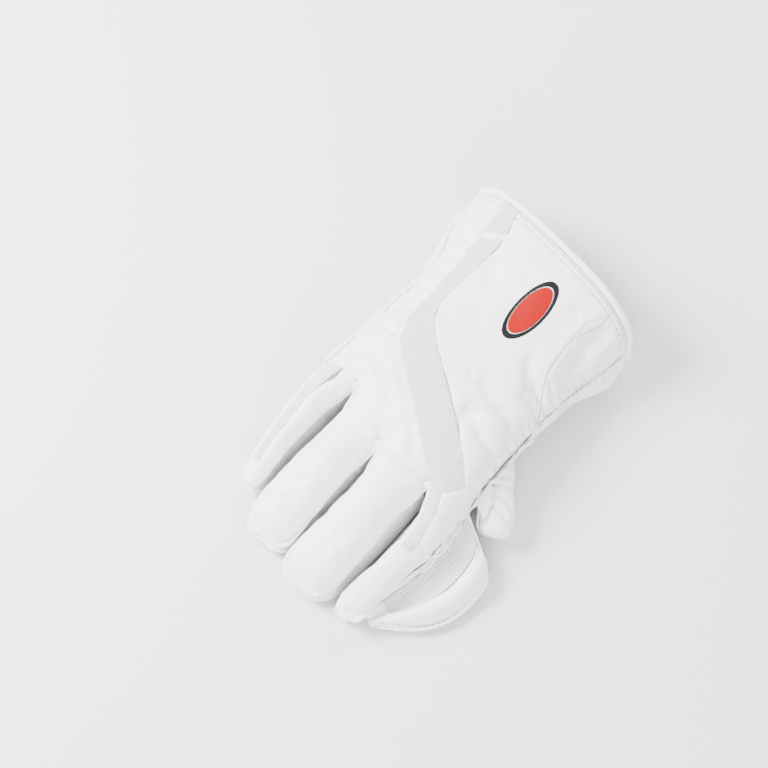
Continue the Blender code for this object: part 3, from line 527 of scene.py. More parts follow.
def mesh_group():
    """Knitted mesh: rows of round holes in the yarn, clearer in some places than in others."""
    group, given, gives = surface_group("knitted_mesh")
    spot = node(group, "ShaderNodeMapping", ((0, given["Vector"]), (2, (0, 0, MESH_TURN)))).outputs[0]
    steps = (("DIVIDE", (MESH_PITCH, MESH_PITCH, 1)), ("FRACTION", (0, 0, 0)),
             ("SUBTRACT", (0.5, 0.5, 0.5)), ("MULTIPLY", (1, 1, 0)))
    for operation, other in steps:
        spot = node(group, "ShaderNodeVectorMath", ((0, spot), (1, other)), operation=operation).outputs[0]
    away = node(group, "ShaderNodeVectorMath", ((0, spot),), operation="LENGTH").outputs["Value"]
    hole = spread(group, away, MESH_HOLE_RADIUS, MESH_HOLE_RADIUS + MESH_HOLE_SOFTNESS, 1.0, 0.0)
    clear = spread(group, speckle(group, given, MESH_PATCHES), 0.3, 0.7, 0.55, 1.0)
    # The holes take the dark second colour: painted shade
    two_tone(group, given, gives, maths(group, "MULTIPLY", hole, clear))
    group.links.new(maths(group, "MULTIPLY", hole, -1.0), gives["Height"])
    return group


def laid_in(vent, skin):
    """Presses the channel for a vent into the skin under it."""
    vent_tree = tree_of(vent)
    vent_places, _ = points_of(vent)
    places, normals = points_of(skin)
    low, high = vent_places.min(0) - CHANNEL_REACH, vent_places.max(0) + CHANNEL_REACH
    for k in np.where(((places > low) & (places < high)).all(1))[0]:
        if normals[k][2] < CHANNEL_STEEPEST:
            continue
        start = Vector(places[k]) + Vector((0, 0, CHANNEL_SEARCH))
        spot, _, _, _ = vent_tree.ray_cast(start, Vector((0, 0, -1)), 2 * CHANNEL_SEARCH)
        if spot is not None and places[k][2] > spot.z - CHANNEL_DEPTH:
            places[k][2] = spot.z - CHANNEL_DEPTH
    set_points(skin, places)


vent_mesh = surfaced("vent_mesh", mesh_group(), (MESH_YARN, MESH_HOLE), MESH_BUMP,
                     constants=[("Roughness", MESH_ROUGHNESS)])
for name in ("vent_band", "vent_strip_little", "vent_strip_index"):
    vent = rounded(copy_of(name + "_mesh", name))
    vent_places, _ = points_of(vent)
    set_points(vent, vent_places - np.array((0, 0, VENT_SUNK)))
    laid_in(vent, back_leather)
    placed(vent, vent_mesh, "vent_mesh", name)

# A fold of the back's leather lies over the vent near the cuff's mouth, where the padded skin
# bunches up into a low ridge.
VENT_FOLD = ([(-68, 124), (-58, 127), (-48, 131), (-40, 136)], -0.0026, 0.0032)

worked(back_leather, drawn(tree_of(back_leather), [VENT_FOLD]), skin_sides)

# The finger seams: back and wall are sewn together with the leather rolled outwards, which
# leaves a plump white welt round every finger and into each slot.
WELT = 0.0019
WELT_SINK = 0.0004
WELT_SWAY = (0.0013, 0.008)
WELT_GROOVE = (0.0042, 0.0009, 0.0011)
PUCKERS = (0.0005, 0.0042, 0.0085)
RIM_STEP = 0.0015
ROLL_GRAIN = 220
ROLL_END = 0.3
ROLL_TAPER = 0.14
FINGER_RIMS = {
    "little": [(-95.1, -25.4, 37.6), (-96.8, -41.1, 36.5), (-97.4, -58.9, 34.4), (-96.0, -77.7, 31.4),
               (-94.4, -96.6, 28.0), (-92.8, -111.2, 25.0), (-90.3, -122.7, 22.5), (-86.2, -130.1, 20.8),
               (-81.3, -130.1, 22.1), (-76.3, -130.1, 20.8), (-74.3, -122.7, 22.5), (-74.5, -111.2, 25.0),
               (-75.0, -96.6, 28.0), (-74.5, -77.7, 31.4), (-72.3, -58.9, 34.4), (-67.1, -41.1, 36.5),
               (-60.5, -25.4, 59.1)],
    "ring": [(-60.2, -25.4, 59.0), (-60.3, -44.6, 36.1), (-62.0, -66.4, 33.3), (-64.8, -89.5, 29.3),
             (-67.0, -112.6, 24.8), (-67.7, -130.5, 20.7), (-66.0, -144.6, 18.2), (-59.0, -153.6, 17.2),
             (-47.0, -153.6, 19.1), (-35.1, -153.6, 17.2), (-28.7, -146.5, 18.0), (-27.4, -135.4, 19.7),
             (-27.5, -121.3, 22.8), (-27.3, -103.2, 26.7), (-26.3, -85.0, 30.1), (-23.3, -67.9, 33.0),
             (-18.6, -52.8, 55.2)],
    "middle": [(-18.3, -52.8, 55.1), (-17.0, -69.4, 32.8), (-17.6, -88.3, 29.5), (-19.8, -108.3, 25.6),
               (-21.9, -128.3, 21.2), (-23.2, -143.9, 18.3), (-22.2, -156.1, 16.9), (-15.4, -163.9, 16.0),
               (-2.5, -163.9, 17.9), (10.5, -163.9, 16.0), (18.2, -156.1, 16.9), (20.5, -143.9, 18.3),
               (20.9, -128.3, 21.2), (21.0, -108.3, 25.6), (21.3, -88.3, 29.5), (23.9, -69.4, 32.8),
               (29.6, -52.8, 52.4)],
    "index": [(29.9, -52.8, 52.6), (34.6, -68.9, 32.9), (35.8, -87.1, 29.7), (34.0, -106.4, 26.0),
              (31.4, -125.7, 21.8), (29.2, -140.7, 18.8), (28.4, -152.5, 17.3), (31.4, -160.0, 16.5),
              (38.7, -160.0, 17.8), (46.0, -160.0, 16.5), (50.4, -152.5, 17.3), (52.0, -140.7, 18.8),
              (53.2, -125.7, 21.8), (55.6, -106.4, 26.0), (59.4, -87.1, 29.7), (60.0, -68.9, 32.9),
              (59.4, -52.8, 35.2), (58.5, -36, 36.8)],
}


def nearest(tree, line, lift=0.0):
    """A line moved to the nearest places of a surface, with the surface's normals there."""
    places, normals = [], []
    for point in line:
        spot, normal, _, _ = tree.find_nearest(Vector(point))
        places.append(spot + normal * lift)
        normals.append(normal)
    return np.array(places), np.array(normals)


def roll(name, line, radius, wobble=0.12, roundness=4):
    """A rolled edge or a cord along a line, a little uneven and with tapered ends."""
    curve = bpy.data.curves.new(name, "CURVE")
    curve.dimensions = "3D"
    curve.bevel_depth = radius
    curve.bevel_resolution = roundness
    curve.use_fill_caps = True
    path = curve.splines.new("POLY")
    path.points.add(len(line) - 1)
    for k, point in enumerate(line):
        path.points[k].co = (*point, 1)
        thickness = 1 + wobble * noise.noise(Vector(point) * ROLL_GRAIN)
        from_end = min(k, len(line) - 1 - k)
        path.points[k].radius = thickness * min(1, ROLL_END + ROLL_TAPER * from_end)
    pick(added(name, curve))
    bpy.ops.object.convert(target="MESH")
    made = bpy.context.object
    made.data.shade_smooth()
    return made


def wavy(line, normals, amount, pitch):
    """A line that wanders from side to side on its surface."""
    tangents = np.gradient(line, axis=0)
    aside = np.cross(normals, tangents)
    aside /= np.linalg.norm(aside, axis=1)[:, None]
    sway = [noise.noise(Vector(point) / pitch) for point in line]
    return line + aside * (np.array(sway) * amount)[:, None]


def evened(line, rounds=5):
    """Takes the kinks out of a line."""
    for _ in range(rounds):
        line[1:-1] = (line[:-2] + 2 * line[1:-1] + line[2:]) / 4
    return line


def beside(piece, line, groove, sides):
    """Sinks a groove that runs beside a line: how far from it, how deep and how wide."""
    aside, depth, width = groove
    places, normals = points_of(piece)
    close, away, _ = nearest_on(places, line, aside + 3 * width)
    share = depth * np.exp(-(((away - aside) / width) ** 2))
    places[close] -= normals[close] * (share * sides[close])[:, None]
    set_points(piece, places)


skin_tree = tree_of(back_leather)
rim_lines = [nearest(skin_tree, smooth_line(rim))[0] for rim in FINGER_RIMS.values()]
worked(back_leather, [(line, *PUCKERS) for line in rim_lines], skin_sides)
for line in rim_lines:
    beside(back_leather, line, WELT_GROOVE, skin_sides)
skin_tree = tree_of(back_leather)
for finger, rim in FINGER_RIMS.items():
    line, normals = nearest(skin_tree, smooth_line(rim, RIM_STEP), -WELT_SINK)
    welt = roll("welt_" + finger, evened(wavy(line, normals, *WELT_SWAY)), WELT)
    finish_with(welt, "SMOOTH", factor=0.5, iterations=2)
    placed(welt, white_leather, "white_leather")

# Stitching: short stitches of thick waxed thread through the leather, darker along the rim, and
# a thin dark cord in the seam of the cuff's side panel.
THREAD = (0.60, 0.60, 0.60, 1)
THREAD_GREY = (0.24, 0.24, 0.25, 1)
THREAD_SHADE = 0.7
THREAD_TWIST = 900.0
THREAD_BUMP = (0.4, 0.0001)
THREAD_ROUGHNESS = 0.6
STITCH_LIFT = 0.25
RIM_GROOVE = (0.0009, 0.0013)
PANEL_CORD = 0.00032

# Rows of stitches: their pitch, length and radius
RIM_STITCH = (0.0026, 0.0019, 0.00034)
ROOT_STITCH = (0.0031, 0.0021, 0.00028)
RIM_SEAM = [(-92, 151.5), (-84, 152.5), (-70, 151.5), (-55, 149.5), (-41, 147.4), (-27, 145.4),
            (-12.5, 143.3), (1.6, 141.2), (15.8, 139.1), (30, 137), (44, 134.8), (58, 132.2), (66, 129.5),
            (70, 127.5)]
MIDDLE_ROOT = [(-18, -53.5), (-9, -56), (0, -56.6), (8, -55.2), (16, -53.6), (26, -52.5)]


def thread_group():
    """Waxed thread with a twist along it."""
    group, given, gives = surface_group("waxed_thread")
    twist = node(group, "ShaderNodeTexWave", (("Vector", given["Vector"]), ("Scale", THREAD_TWIST)),
                 bands_direction="DIAGONAL").outputs["Fac"]
    two_tone(group, given, gives, twist)
    group.links.new(twist, gives["Height"])
    return group


WAXED_THREAD = thread_group()


def toned(colour, share):
    """A colour and the darker or lighter one that goes with it."""
    return colour, tuple(part * share for part in colour[:3]) + (1,)


def thread(name, colour):
    return surfaced(name, WAXED_THREAD, toned(colour, THREAD_SHADE), THREAD_BUMP,
                    constants=[("Roughness", THREAD_ROUGHNESS)])


def meshed(name, corners, polygons):
    """A smooth piece made of these corners and faces."""
    mesh = bpy.data.meshes.new(name)
    mesh.from_pydata(corners, [], polygons)
    mesh.shade_smooth()
    return added(name, mesh)


def sewn(name, line, normals, stitch, material):
    """A row of stitches along a line on a surface, modelled once and copied."""
    pitch, length, radius = stitch
    shape = bmesh.new()
    bmesh.ops.create_uvsphere(shape, u_segments=6, v_segments=5, radius=1.0)
    base = np.array([vertex.co[:] for vertex in shape.verts])
    faces = [[vertex.index for vertex in face.verts] for face in shape.faces]
    shape.free()
    stations = stations_of(line)
    corners, polygons = [], []
    for place in np.arange(pitch / 2, stations[-1], pitch):
        k = min(int(np.searchsorted(stations, place)), len(line) - 2)
        along = line[k + 1] - line[k - 1]
        along /= np.linalg.norm(along)
        up = normals[k] - along * normals[k].dot(along)
        up /= np.linalg.norm(up)
        aside = np.cross(up, along)
        spot = line[k] + up * radius * STITCH_LIFT
        corners_here = (base[:, :1] * radius * aside + base[:, 1:2] * radius * up
                        + base[:, 2:] * length / 2 * along + spot)
        polygons += [[index + len(corners) for index in face] for face in faces]
        corners += [tuple(corner) for corner in corners_here]
    placed(meshed(name, corners, polygons), material, "white_leather")


white_thread = thread("white_thread", THREAD)
grey_thread = thread("grey_thread", THREAD_GREY)
rim_line, _ = laid_on(skin_tree, smooth_line(RIM_SEAM))
worked(back_leather, [(rim_line, *RIM_GROOVE)], np.sign(skin_sides))
skin_tree = tree_of(back_leather)
sewn("rim_stitches", *laid_on(skin_tree, smooth_line(RIM_SEAM)), RIM_STITCH, grey_thread)
panel_line, _ = laid_on(skin_tree, smooth_line(PANEL_SEAM))
panel_cord = roll("panel_seam_cord", panel_line, PANEL_CORD, 0.0, roundness=2)
placed(panel_cord, grey_thread, "white_leather")
sewn("middle_root_stitches", *laid_on(skin_tree, smooth_line(MIDDLE_ROOT)), ROOT_STITCH, white_thread)

# The badge: a plain oval of thin red rubber with a dark rim, pressed on to the back of the cuff,
# where it follows the padding under it.
BADGE_CENTRE = (3.0, 97.5)
BADGE_HALF = (11.5, 26.0)
BADGE_TURN = math.radians(-6)
BADGE_SIDES = 64
BADGE_THICK = 0.0005
BADGE_LIFT = 0.0004
BADGE_BEVEL = 0.0002
RED = (0.24, 0.0006, 0.0002, 1)
CHARCOAL = (0.006, 0.006, 0.007, 1)
PRINT_LIGHTER = 1.25
PRINT_MOTTLE = 300.0
PRINT_BUMP = (0.3, 0.0002)
PRINT_SHINE = [("Roughness", 0.5), ("Specular IOR Level", 0.15)]

# Where the face and the rim start and end, as shares of the oval, and their rows of faces
BADGE_FACE = (0.0, 0.84, 8)
BADGE_RIM = (0.87, 1.06, 3)


def pressed_on(name, band):
    """A flat oval ring, or an oval where it starts at 0, laid on the skin."""
    inner, outer, rows = band
    shape = bmesh.new()
    loops = []
    for row in range(rows + 1):
        share = inner + (outer - inner) * row / rows
        loop = []
        for k in range(BADGE_SIDES):
            angle = 2 * math.pi * k / BADGE_SIDES
            across = math.cos(angle) * BADGE_HALF[0] * share
            along = math.sin(angle) * BADGE_HALF[1] * share
            x = BADGE_CENTRE[0] + across * math.cos(BADGE_TURN) - along * math.sin(BADGE_TURN)
            y = BADGE_CENTRE[1] + across * math.sin(BADGE_TURN) + along * math.cos(BADGE_TURN)
            loop.append((x / 1000, y / 1000))
        places, normals = laid_on(skin_tree, loop)
        loops.append([shape.verts.new(place) for place in places + normals * BADGE_LIFT])
    for a, b in zip(loops, loops[1:]):
        for k in range(BADGE_SIDES):
            shape.faces.new((a[k - 1], b[k - 1], b[k], a[k]))
    bmesh.ops.remove_doubles(shape, verts=shape.verts, dist=WELD / 2)
    bmesh.ops.recalc_face_normals(shape, faces=shape.faces)
    if sum(face.normal.z for face in shape.faces) < 0:
        bmesh.ops.reverse_faces(shape, faces=shape.faces)
    mesh = bpy.data.meshes.new(name)
    shape.to_mesh(mesh)
    shape.free()
    made = added(name, mesh)
    finish_with(made, "SOLIDIFY", thickness=BADGE_THICK + BADGE_LIFT, offset=-1)
    finish_with(made, "BEVEL", width=BADGE_BEVEL, segments=2, limit_method="ANGLE")
    made.data.shade_smooth()
    return made


def print_group():
    """Thin printed rubber with a faint mottle."""
    group, given, gives = surface_group("printed_rubber")
    mottle = speckle(group, given, PRINT_MOTTLE, 4.0)
    two_tone(group, given, gives, mottle)
    group.links.new(mottle, gives["Height"])
    return group


PRINTED_RUBBER = print_group()
for name, band, material_name, colour in (("badge_oval", BADGE_FACE, "red_rubber", RED),
                                          ("badge_rim", BADGE_RIM, "charcoal_rubber", CHARCOAL)):
    printed = surfaced(material_name, PRINTED_RUBBER, toned(colour, PRINT_LIGHTER), PRINT_BUMP,
                       constants=PRINT_SHINE)
    placed(pressed_on(name, band), printed, "pimpled_rubber")

# The dark line down the thumb side of the hand: the seam where the back meets the thumb and the
# web, deep between two rolls of leather, with a thin near-black cord laid in it as painted shadow.
SEAM_SIDE = [(58.6, 34, 36.4), (58.4, 13.4, 38.1), (58.1, -2.7, 38.4), (58.1, -18.8, 37.9),
             (58.5, -34.9, 37.0), (59.4, -52.8, 35.2), (60.0, -68.9, 32.9), (59.4, -87.1, 29.7),
             (55.6, -106.4, 26.0), (53.2, -125.7, 21.8), (52.0, -140.7, 18.8)]
# The cord's near black is painted shadow of the gap in the seam
SEAM_PAINTED_SHADOW = (0.13, 0.125, 0.12, 1)
SEAM_SHIFT = (0.0006, 0, -0.0012)

# A cord's or a roll's radius and its wobble
SEAM_CORD = (0.0005, 0.5)

seam_shadow_cord = roll("thumb_side_seam_shadow", smooth_line(SEAM_SIDE) + np.array(SEAM_SHIFT), *SEAM_CORD, roundness=2)
placed(seam_shadow_cord, thread("painted_seam_shadow", SEAM_PAINTED_SHADOW), "white_leather")

# The palm: one sheet of cream rubber with rows of small pimples, over the palm and the front of
# the fingers, sewn to the finger walls along its edge. The pimples are darker, as painted shade.
FROM_BELOW = (0, 0, 1)
CREAM = (0.66, 0.60, 0.50, 1)
CREAM_SHADE = (0.52, 0.45, 0.34, 1)
CREAM_GRAIN = 900.0
RUBBER_STAINS = 28.0
RUBBER_BUMP = (0.5, 0.0003)
EDGE_LEATHER = ((0.80, 0.79, 0.75, 1), (0.66, 0.62, 0.54, 1))
EDGE_ROUGHNESS = 0.55
EDGE_STEEPEST = -0.35
# The pimples' darker brown is painted shade, standing for the dark of their shadows
PIMPLE_PAINTED_SHADE = (0.46, 0.38, 0.27, 1)
PIMPLE_GRAIN = 1500.0
PIMPLE_PITCH = 0.0029
PIMPLE_RADIUS = 0.0007
PIMPLE_HEIGHT = 0.00028
PIMPLE_STEEPEST = -0.42
BELOW_ALL = -0.05

# A pimple's rings from its foot to its top: how wide and how high, as shares
PIMPLE_RINGS = ((1.0, -0.2), (0.86, 0.55), (0.45, 1.0))
PIMPLE_SIDES = 6

# Where the palm and its fingers bend: lines in millimetres, with their depth and half width
PALM_CREASES = (
    ([(-70, -28), (-46, -40), (-20, -44), (6, -42)], 0.0009, 0.003),
    ([(-60, 6), (-36, -8), (-10, -14), (20, -16)], 0.0010, 0.0035),
    ([(-30, 26), (-14, 8), (6, -4), (30, -8)], 0.0010, 0.0035),
    ([(-64, -84), (-48, -86), (-32, -84)], 0.0007, 0.003),
    ([(-22, -92), (0, -95), (22, -92)], 0.0007, 0.003),
    ([(-62, -116), (-46, -118), (-30, -116)], 0.0006, 0.003),
    ([(-20, -124), (0, -127), (20, -124)], 0.0006, 0.003),
)


def rubber_group():
    """Matte rubber, a little stained and worn."""
    group, given, gives = surface_group("matte_rubber", ["Grain"], ["Roughness"])
    two_tone(group, given, gives, spread(group, speckle(group, given, RUBBER_STAINS, 6.0), 0.35, 0.75))
    grain = speckle(group, given, given["Grain"], 3.0)
    group.links.new(maths(group, "MULTIPLY_ADD", grain, 0.2, 0.5), gives["Roughness"])
    group.links.new(grain, gives["Height"])
    return group


MATTE_RUBBER = rubber_group()
cream_rubber = surfaced("cream_rubber", MATTE_RUBBER, (CREAM, CREAM_SHADE), RUBBER_BUMP,
                        [("Grain", CREAM_GRAIN)])
pimple_rubber_painted_shade = surfaced("pimple_rubber_painted_shade", MATTE_RUBBER, (PIMPLE_PAINTED_SHADE, CREAM_SHADE), RUBBER_BUMP,
                         [("Grain", PIMPLE_GRAIN)])
edge_leather = surfaced("edge_leather", SOFT_LEATHER, EDGE_LEATHER, LEATHER_BUMP,
                        [("Roughness", EDGE_ROUGHNESS)], [("Sheen Weight", LEATHER_SHEEN)])


def faced(piece):
    """Rubber on the underside alone: the sheet's edge and its inside are plain leather."""
    piece.data.materials.append(edge_leather)
    for face in piece.data.polygons:
        if face.normal.z > EDGE_STEEPEST:
            face.material_index = 1


def pimples_on(name, piece):
    """Low pimples in rows over a piece's underside, modelled once and copied."""
    sides = PIMPLE_SIDES
    turns = [2 * math.pi * k / sides for k in range(sides)]
    base = [(math.cos(turn) * wide, math.sin(turn) * wide, high)
            for wide, high in PIMPLE_RINGS for turn in turns]
    base = np.array(base) * np.array((PIMPLE_RADIUS, PIMPLE_RADIUS, PIMPLE_HEIGHT))
    faces = [[ring + k, ring + (k + 1) % sides, ring + sides + (k + 1) % sides, ring + sides + k]
             for ring in (0, sides) for k in range(sides)]
    faces.append(list(range(2 * sides, 3 * sides)))
    tree = tree_of(piece)
    places, _ = points_of(piece)
    low, high = places.min(0), places.max(0)
    corners, polygons = [], []
    row_step = PIMPLE_PITCH * math.sqrt(0.75)
    for row in range(int((high[1] - low[1]) / row_step) + 1):
        y = low[1] + row * row_step
        x = low[0] + (row % 2) * PIMPLE_PITCH / 2
        while x < high[0]:
            spot, normal, _, _ = tree.ray_cast(Vector((x, y, BELOW_ALL)), Vector(FROM_BELOW))
            x += PIMPLE_PITCH
            if spot is None or normal.z > PIMPLE_STEEPEST:
                continue
            across = normal.cross(Vector((0, 1, 0))).normalized()
            along = normal.cross(across)
            turned = base @ np.array((across, along, normal))
            polygons += [[index + len(corners) for index in face] for face in faces]
            corners += [tuple(corner) for corner in turned + np.array(spot)]
    made = meshed(name, corners, polygons)
    shape = bmesh.new()
    shape.from_mesh(made.data)
    bmesh.ops.recalc_face_normals(shape, faces=shape.faces)
    shape.to_mesh(made.data)
    shape.free()
    placed(made, pimple_rubber_painted_shade, "pimpled_rubber")


palm = rounded(copy_of("palm_rubber", "palm_facing"), levels=3)
palm_tree = tree_of(palm)
worked(palm, drawn(palm_tree, PALM_CREASES, FROM_BELOW))
placed(palm, cream_rubber, "pimpled_rubber", "palm_facing")
faced(palm)
pimples_on("palm_pimples", palm)

# Finger walls: thin grey cloth between the back and the palm of each finger, which creases as
# the fingers bend, and the small gusset at the wrist.
WALL_GREY = (0.78, 0.79, 0.79, 1)
CLOTH_SHADE = 0.78
CLOTH_WEAVE = 1400.0
CLOTH_TONES = 60.0
CLOTH_BUMP = (0.5, 0.0004)
CLOTH_ROUGHNESS = 0.85
WALL_FOLD = (0.0006, 0.008, 0.012)
WALL_FOLD_DROP = 0.007
WALL_UNEVEN = (0.0006, 0.012)
PALM_SEAM = (0.0019, 0.3)
PALM_SEAM_LIFT = 0.0012
GUSSET_STRETCH = 3.0
GUSSET_UNEVEN = (0.0014, 0.007)


def cloth_group():
    """A plain fine cloth."""
    group, given, gives = surface_group("plain_cloth")
    weave = node(group, "ShaderNodeTexVoronoi", (("Vector", given["Vector"]), ("Scale", CLOTH_WEAVE)))
    two_tone(group, given, gives, speckle(group, given, CLOTH_TONES, 4.0))
    group.links.new(weave.outputs["Distance"], gives["Height"])
    return group


PLAIN_CLOTH = cloth_group()


def cloth(name, colour):
    return surfaced(name, PLAIN_CLOTH, toned(colour, CLOTH_SHADE), CLOTH_BUMP,
                    constants=[("Roughness", CLOTH_ROUGHNESS)])


wall_cloth = cloth("wall_cloth", WALL_GREY)
for finger, rim in FINGER_RIMS.items():
    name = "finger_wall_" + finger
    wall = rounded(copy_of(name + "_cloth", name, crease=0.8), levels=3)
    lower, _ = nearest(tree_of(wall), smooth_line(rim) - np.array((0, 0, WALL_FOLD_DROP)))
    worked(wall, [(lower, *WALL_FOLD)])
    uneven(wall, [WALL_UNEVEN])
    placed(wall, wall_cloth, "wall_fabric", name)
    line, normals = laid_on(palm_tree, smooth_line(rim, RIM_STEP))
    palm_seam = roll("palm_seam_" + finger, evened(line + normals * PALM_SEAM_LIFT, rounds=12), *PALM_SEAM)
    placed(palm_seam, white_leather, "white_leather")
gusset = rounded(copy_of("wrist_gusset_cloth", "wrist_gusset", crease=0.5), levels=4)
places, _ = points_of(gusset)
wrist_end = places[:, 1].max()
places[:, 1] = wrist_end - (wrist_end - places[:, 1]) * GUSSET_STRETCH
set_points(gusset, places)
uneven(gusset, [GUSSET_UNEVEN])
placed(gusset, wall_cloth, "wall_fabric", "wrist_gusset")

# The cuff's palm side: padded white leather from the heel of the hand to the mouth, joined to
# the back along both sides, where the leather bunches a little at the wrist.
CUFF_FOLDS = (
    ([(-50, 40), (-20, 46), (20, 44), (48, 42)], 0.0014, 0.005),
    ([(-56, 58), (-24, 64), (16, 62), (50, 56)], 0.0011, 0.006),
    ([(-66, 84), (-40, 80), (-12, 84)], 0.0009, 0.006),
    ([(10, 86), (34, 80), (58, 84)], 0.0009, 0.006),
)
LITTLE_SEAM = [(-90.2, 29.5, 36.6), (-89.0, 45.6, 35.4), (-87.9, 61.7, 34.0), (-86.2, 77.8, 32.5),
               (-86.6, 93.9, 30.9), (-90.0, 110.0, 29.2), (-95.4, 126.1, 29.1), (-97.4, 142.2, 29.5),
               (-97.6, 152.5, 29.9)]
THUMB_SEAM = [(59.4, 34, 36.4), (60.1, 45.6, 35.4), (61.1, 61.7, 34.0), (63.0, 75.9, 32.5),
              (65.1, 87.4, 30.9), (67.1, 97.5, 29.2), (69.4, 107.6, 29.1), (71.3, 119.0, 29.5),
              (72.4, 128.0, 29.9)]
PALM_RIM_SEAM = [(-88, 150.5), (-70, 149.5), (-45, 147), (-20, 144), (5, 141), (30, 138), (50, 135),
                 (62, 131)]
PALM_RIM_STITCH = (0.0026, 0.0019, 0.0003)

# The seam along the hand itself, which the roll on the little finger's side covers too
HAND_SEAM = [(-95.8, -25.3, 36.8), (-93.8, -9.2, 37.6), (-91.4, 13.4, 37.6)]
SEAM_DROP = 0.004
SEAM_GATHERS = (0.0007, 0.006, 0.0095)
CUFF_CREASES = (0.0016, 0.034)
CUFF_UNEVEN = ((0.0006, 0.03), (0.0002, 0.009))
SIDE_WOBBLE = 0.4
SIDE_ROLLS = (
    ("little_side_roll", HAND_SEAM + LITTLE_SEAM, 0.0021, (-0.0021, 0, -0.0014)),
    ("thumb_side_roll", THUMB_SEAM, 0.0013, (0.0003, 0, 0)),
)


def grounded(piece):
    """Keeps a piece from sinking into the floor."""
    places, _ = points_of(piece)
    places[:, 2] = np.maximum(places[:, 2], 0.0)
    set_points(piece, places)


cuff_leather = rounded(copy_of("cuff_leather", "cuff_palm", crease=0.35), levels=3)
cuff_sides = sides_of(cuff_leather, False)
cuff_tree = tree_of(cuff_leather)
folds = drawn(cuff_tree, CUFF_FOLDS, FROM_BELOW)
for seam in (LITTLE_SEAM, THUMB_SEAM):
    line, _ = nearest(cuff_tree, smooth_line(seam) - np.array((0, 0, SEAM_DROP)))
    folds.append((line, *SEAM_GATHERS))
worked(cuff_leather, folds, cuff_sides)
creased(cuff_leather, *CUFF_CREASES, cuff_sides)
uneven(cuff_leather, CUFF_UNEVEN, cuff_sides)
grounded(cuff_leather)
placed(cuff_leather, white_leather, "white_leather", "cuff_palm")
for name, seam, radius, shift in SIDE_ROLLS:
    side_roll = roll(name, smooth_line(seam) + np.array(shift), radius, SIDE_WOBBLE)
    placed(side_roll, white_leather, "white_leather")
palm_rim = laid_on(tree_of(cuff_leather), smooth_line(PALM_RIM_SEAM), FROM_BELOW)
sewn("palm_rim_stitches", *palm_rim, PALM_RIM_STITCH, grey_thread)

# At the wrist the thumb-side seam is drawn together by a row of thick grey thread, which gathers
# the leather on both sides of it into small pleats.
RUCHED = [(59.4, 40, 36.2), (60.1, 45.6, 35.8), (61.1, 61.7, 34.4), (63.0, 75.9, 32.9), (65.1, 87.4, 31.3),
          (66.6, 95, 30.0)]
BACK_PLEATS = (0.0010, 0.0038, 0.0044)
PALM_PLEATS = (0.0008, 0.0034, 0.0044)
WRIST_THREAD = (0.36, 0.355, 0.35, 1)
WRIST_STITCH = (0.0034, 0.0022, 0.0005)
WRIST_SHIFT = (0.0004, 0, 0.0018)

ruched_line = smooth_line(RUCHED)
worked(back_leather, [(ruched_line, *BACK_PLEATS)], skin_sides)
worked(cuff_leather, [(ruched_line, *PALM_PLEATS)], cuff_sides)
skin_tree = tree_of(back_leather)
wrist_row = nearest(skin_tree, ruched_line + np.array(WRIST_SHIFT))
sewn("wrist_stitches", *wrist_row, WRIST_STITCH, thread("wrist_thread", WRIST_THREAD))

# The cuff's lining: a thin pale cloth on the inside of both halves. Where they are sewn together,
# a strip of the same cloth is folded over the seam.
LINING = (0.60, 0.60, 0.585, 1)
CUFF_START = 0.02
TAPE = (0.0018, 0.2)
SEAM_TAPES = (("little_side_tape", LITTLE_SEAM, 0.0046), ("thumb_side_tape", THUMB_SEAM, -0.0046))

lining_cloth = cloth("lining_cloth", LINING)
for piece, sides in ((back_leather, skin_sides), (cuff_leather, cuff_sides)):
    piece.data.materials.append(lining_cloth)
    for face in piece.data.polygons:
        if face.center.y > CUFF_START and max(sides[corner] for corner in face.vertices) < 0:
            face.material_index = 1
for name, seam, inset in SEAM_TAPES:
    tape = roll(name, smooth_line(seam) + np.array((inset, 0, 0)), *TAPE)
    placed(tape, lining_cloth, "wall_fabric")

# The binding: a strip of the same leather rolled over the mouth's edge and stitched down, with
# the row of stitches just inside the roll.
BINDING_UNEVEN = ((0.0005, 0.012), (0.0002, 0.004))
BINDING_THREAD = (0.30, 0.30, 0.31, 1)
BINDING_STITCH = (0.0023, 0.0017, 0.0004)
BINDING_SHIFT = (0.0004, 0.0029)

binding = rounded(copy_of("rolled_binding", "cuff_binding", crease=0.0), levels=2)
uneven(binding, BINDING_UNEVEN)
grounded(binding)
placed(binding, white_leather, "binding_leather", "cuff_binding")
binding_tree = tree_of(binding)
spots = []
for point in smooth_line(RIM_SEAM) + np.array(BINDING_SHIFT):
    found = [laid_on(tree, [point]) for tree in (skin_tree, binding_tree)]
    found = [(places[0], normals[0]) for places, normals in found if len(places)]
    spots.append(max(found, key=lambda pair: pair[0][2]))
edge_line = evened(np.array([spot for spot, _ in spots]))
edge_normals = np.array([normal for _, normal in spots])
sewn("binding_stitches", edge_line, edge_normals, BINDING_STITCH, thread("binding_thread", BINDING_THREAD))

# The thumb: a padded white back and a pimpled face, seamed along both sides, with a small
# gusset in its crotch. Its leather is gathered where it meets the hand, so folds fan out.
THUMB_FOLDS = (
    ([(54, -16), (62, -8), (70, 0), (74, 6)], 0.0022, 0.0024),
    ([(57, -20), (66, -13), (76, -8)], 0.0024, 0.0024),
    ([(60, -25), (70, -21), (81, -19)], 0.0022, 0.0022),
    ([(64, -32), (73, -29), (83, -29)], 0.0016, 0.0022),
    ([(46, -6), (53, 3), (60, 12)], 0.0022, 0.0026),
    ([(40, 2), (46, 12), (52, 20)], 0.0018, 0.0028),
)
THUMB_SEAM_LINE = [(25.8, 10.9, 35.6), (40.4, -5.9, 30.4), (50.0, -17.5, 28.5), (57.8, -27.7, 27.3),
                   (64.2, -36.5, 25.4), (69.0, -43.3, 23.2), (71.4, -46.6, 22.1), (74.3, -48.3, 20.7)]
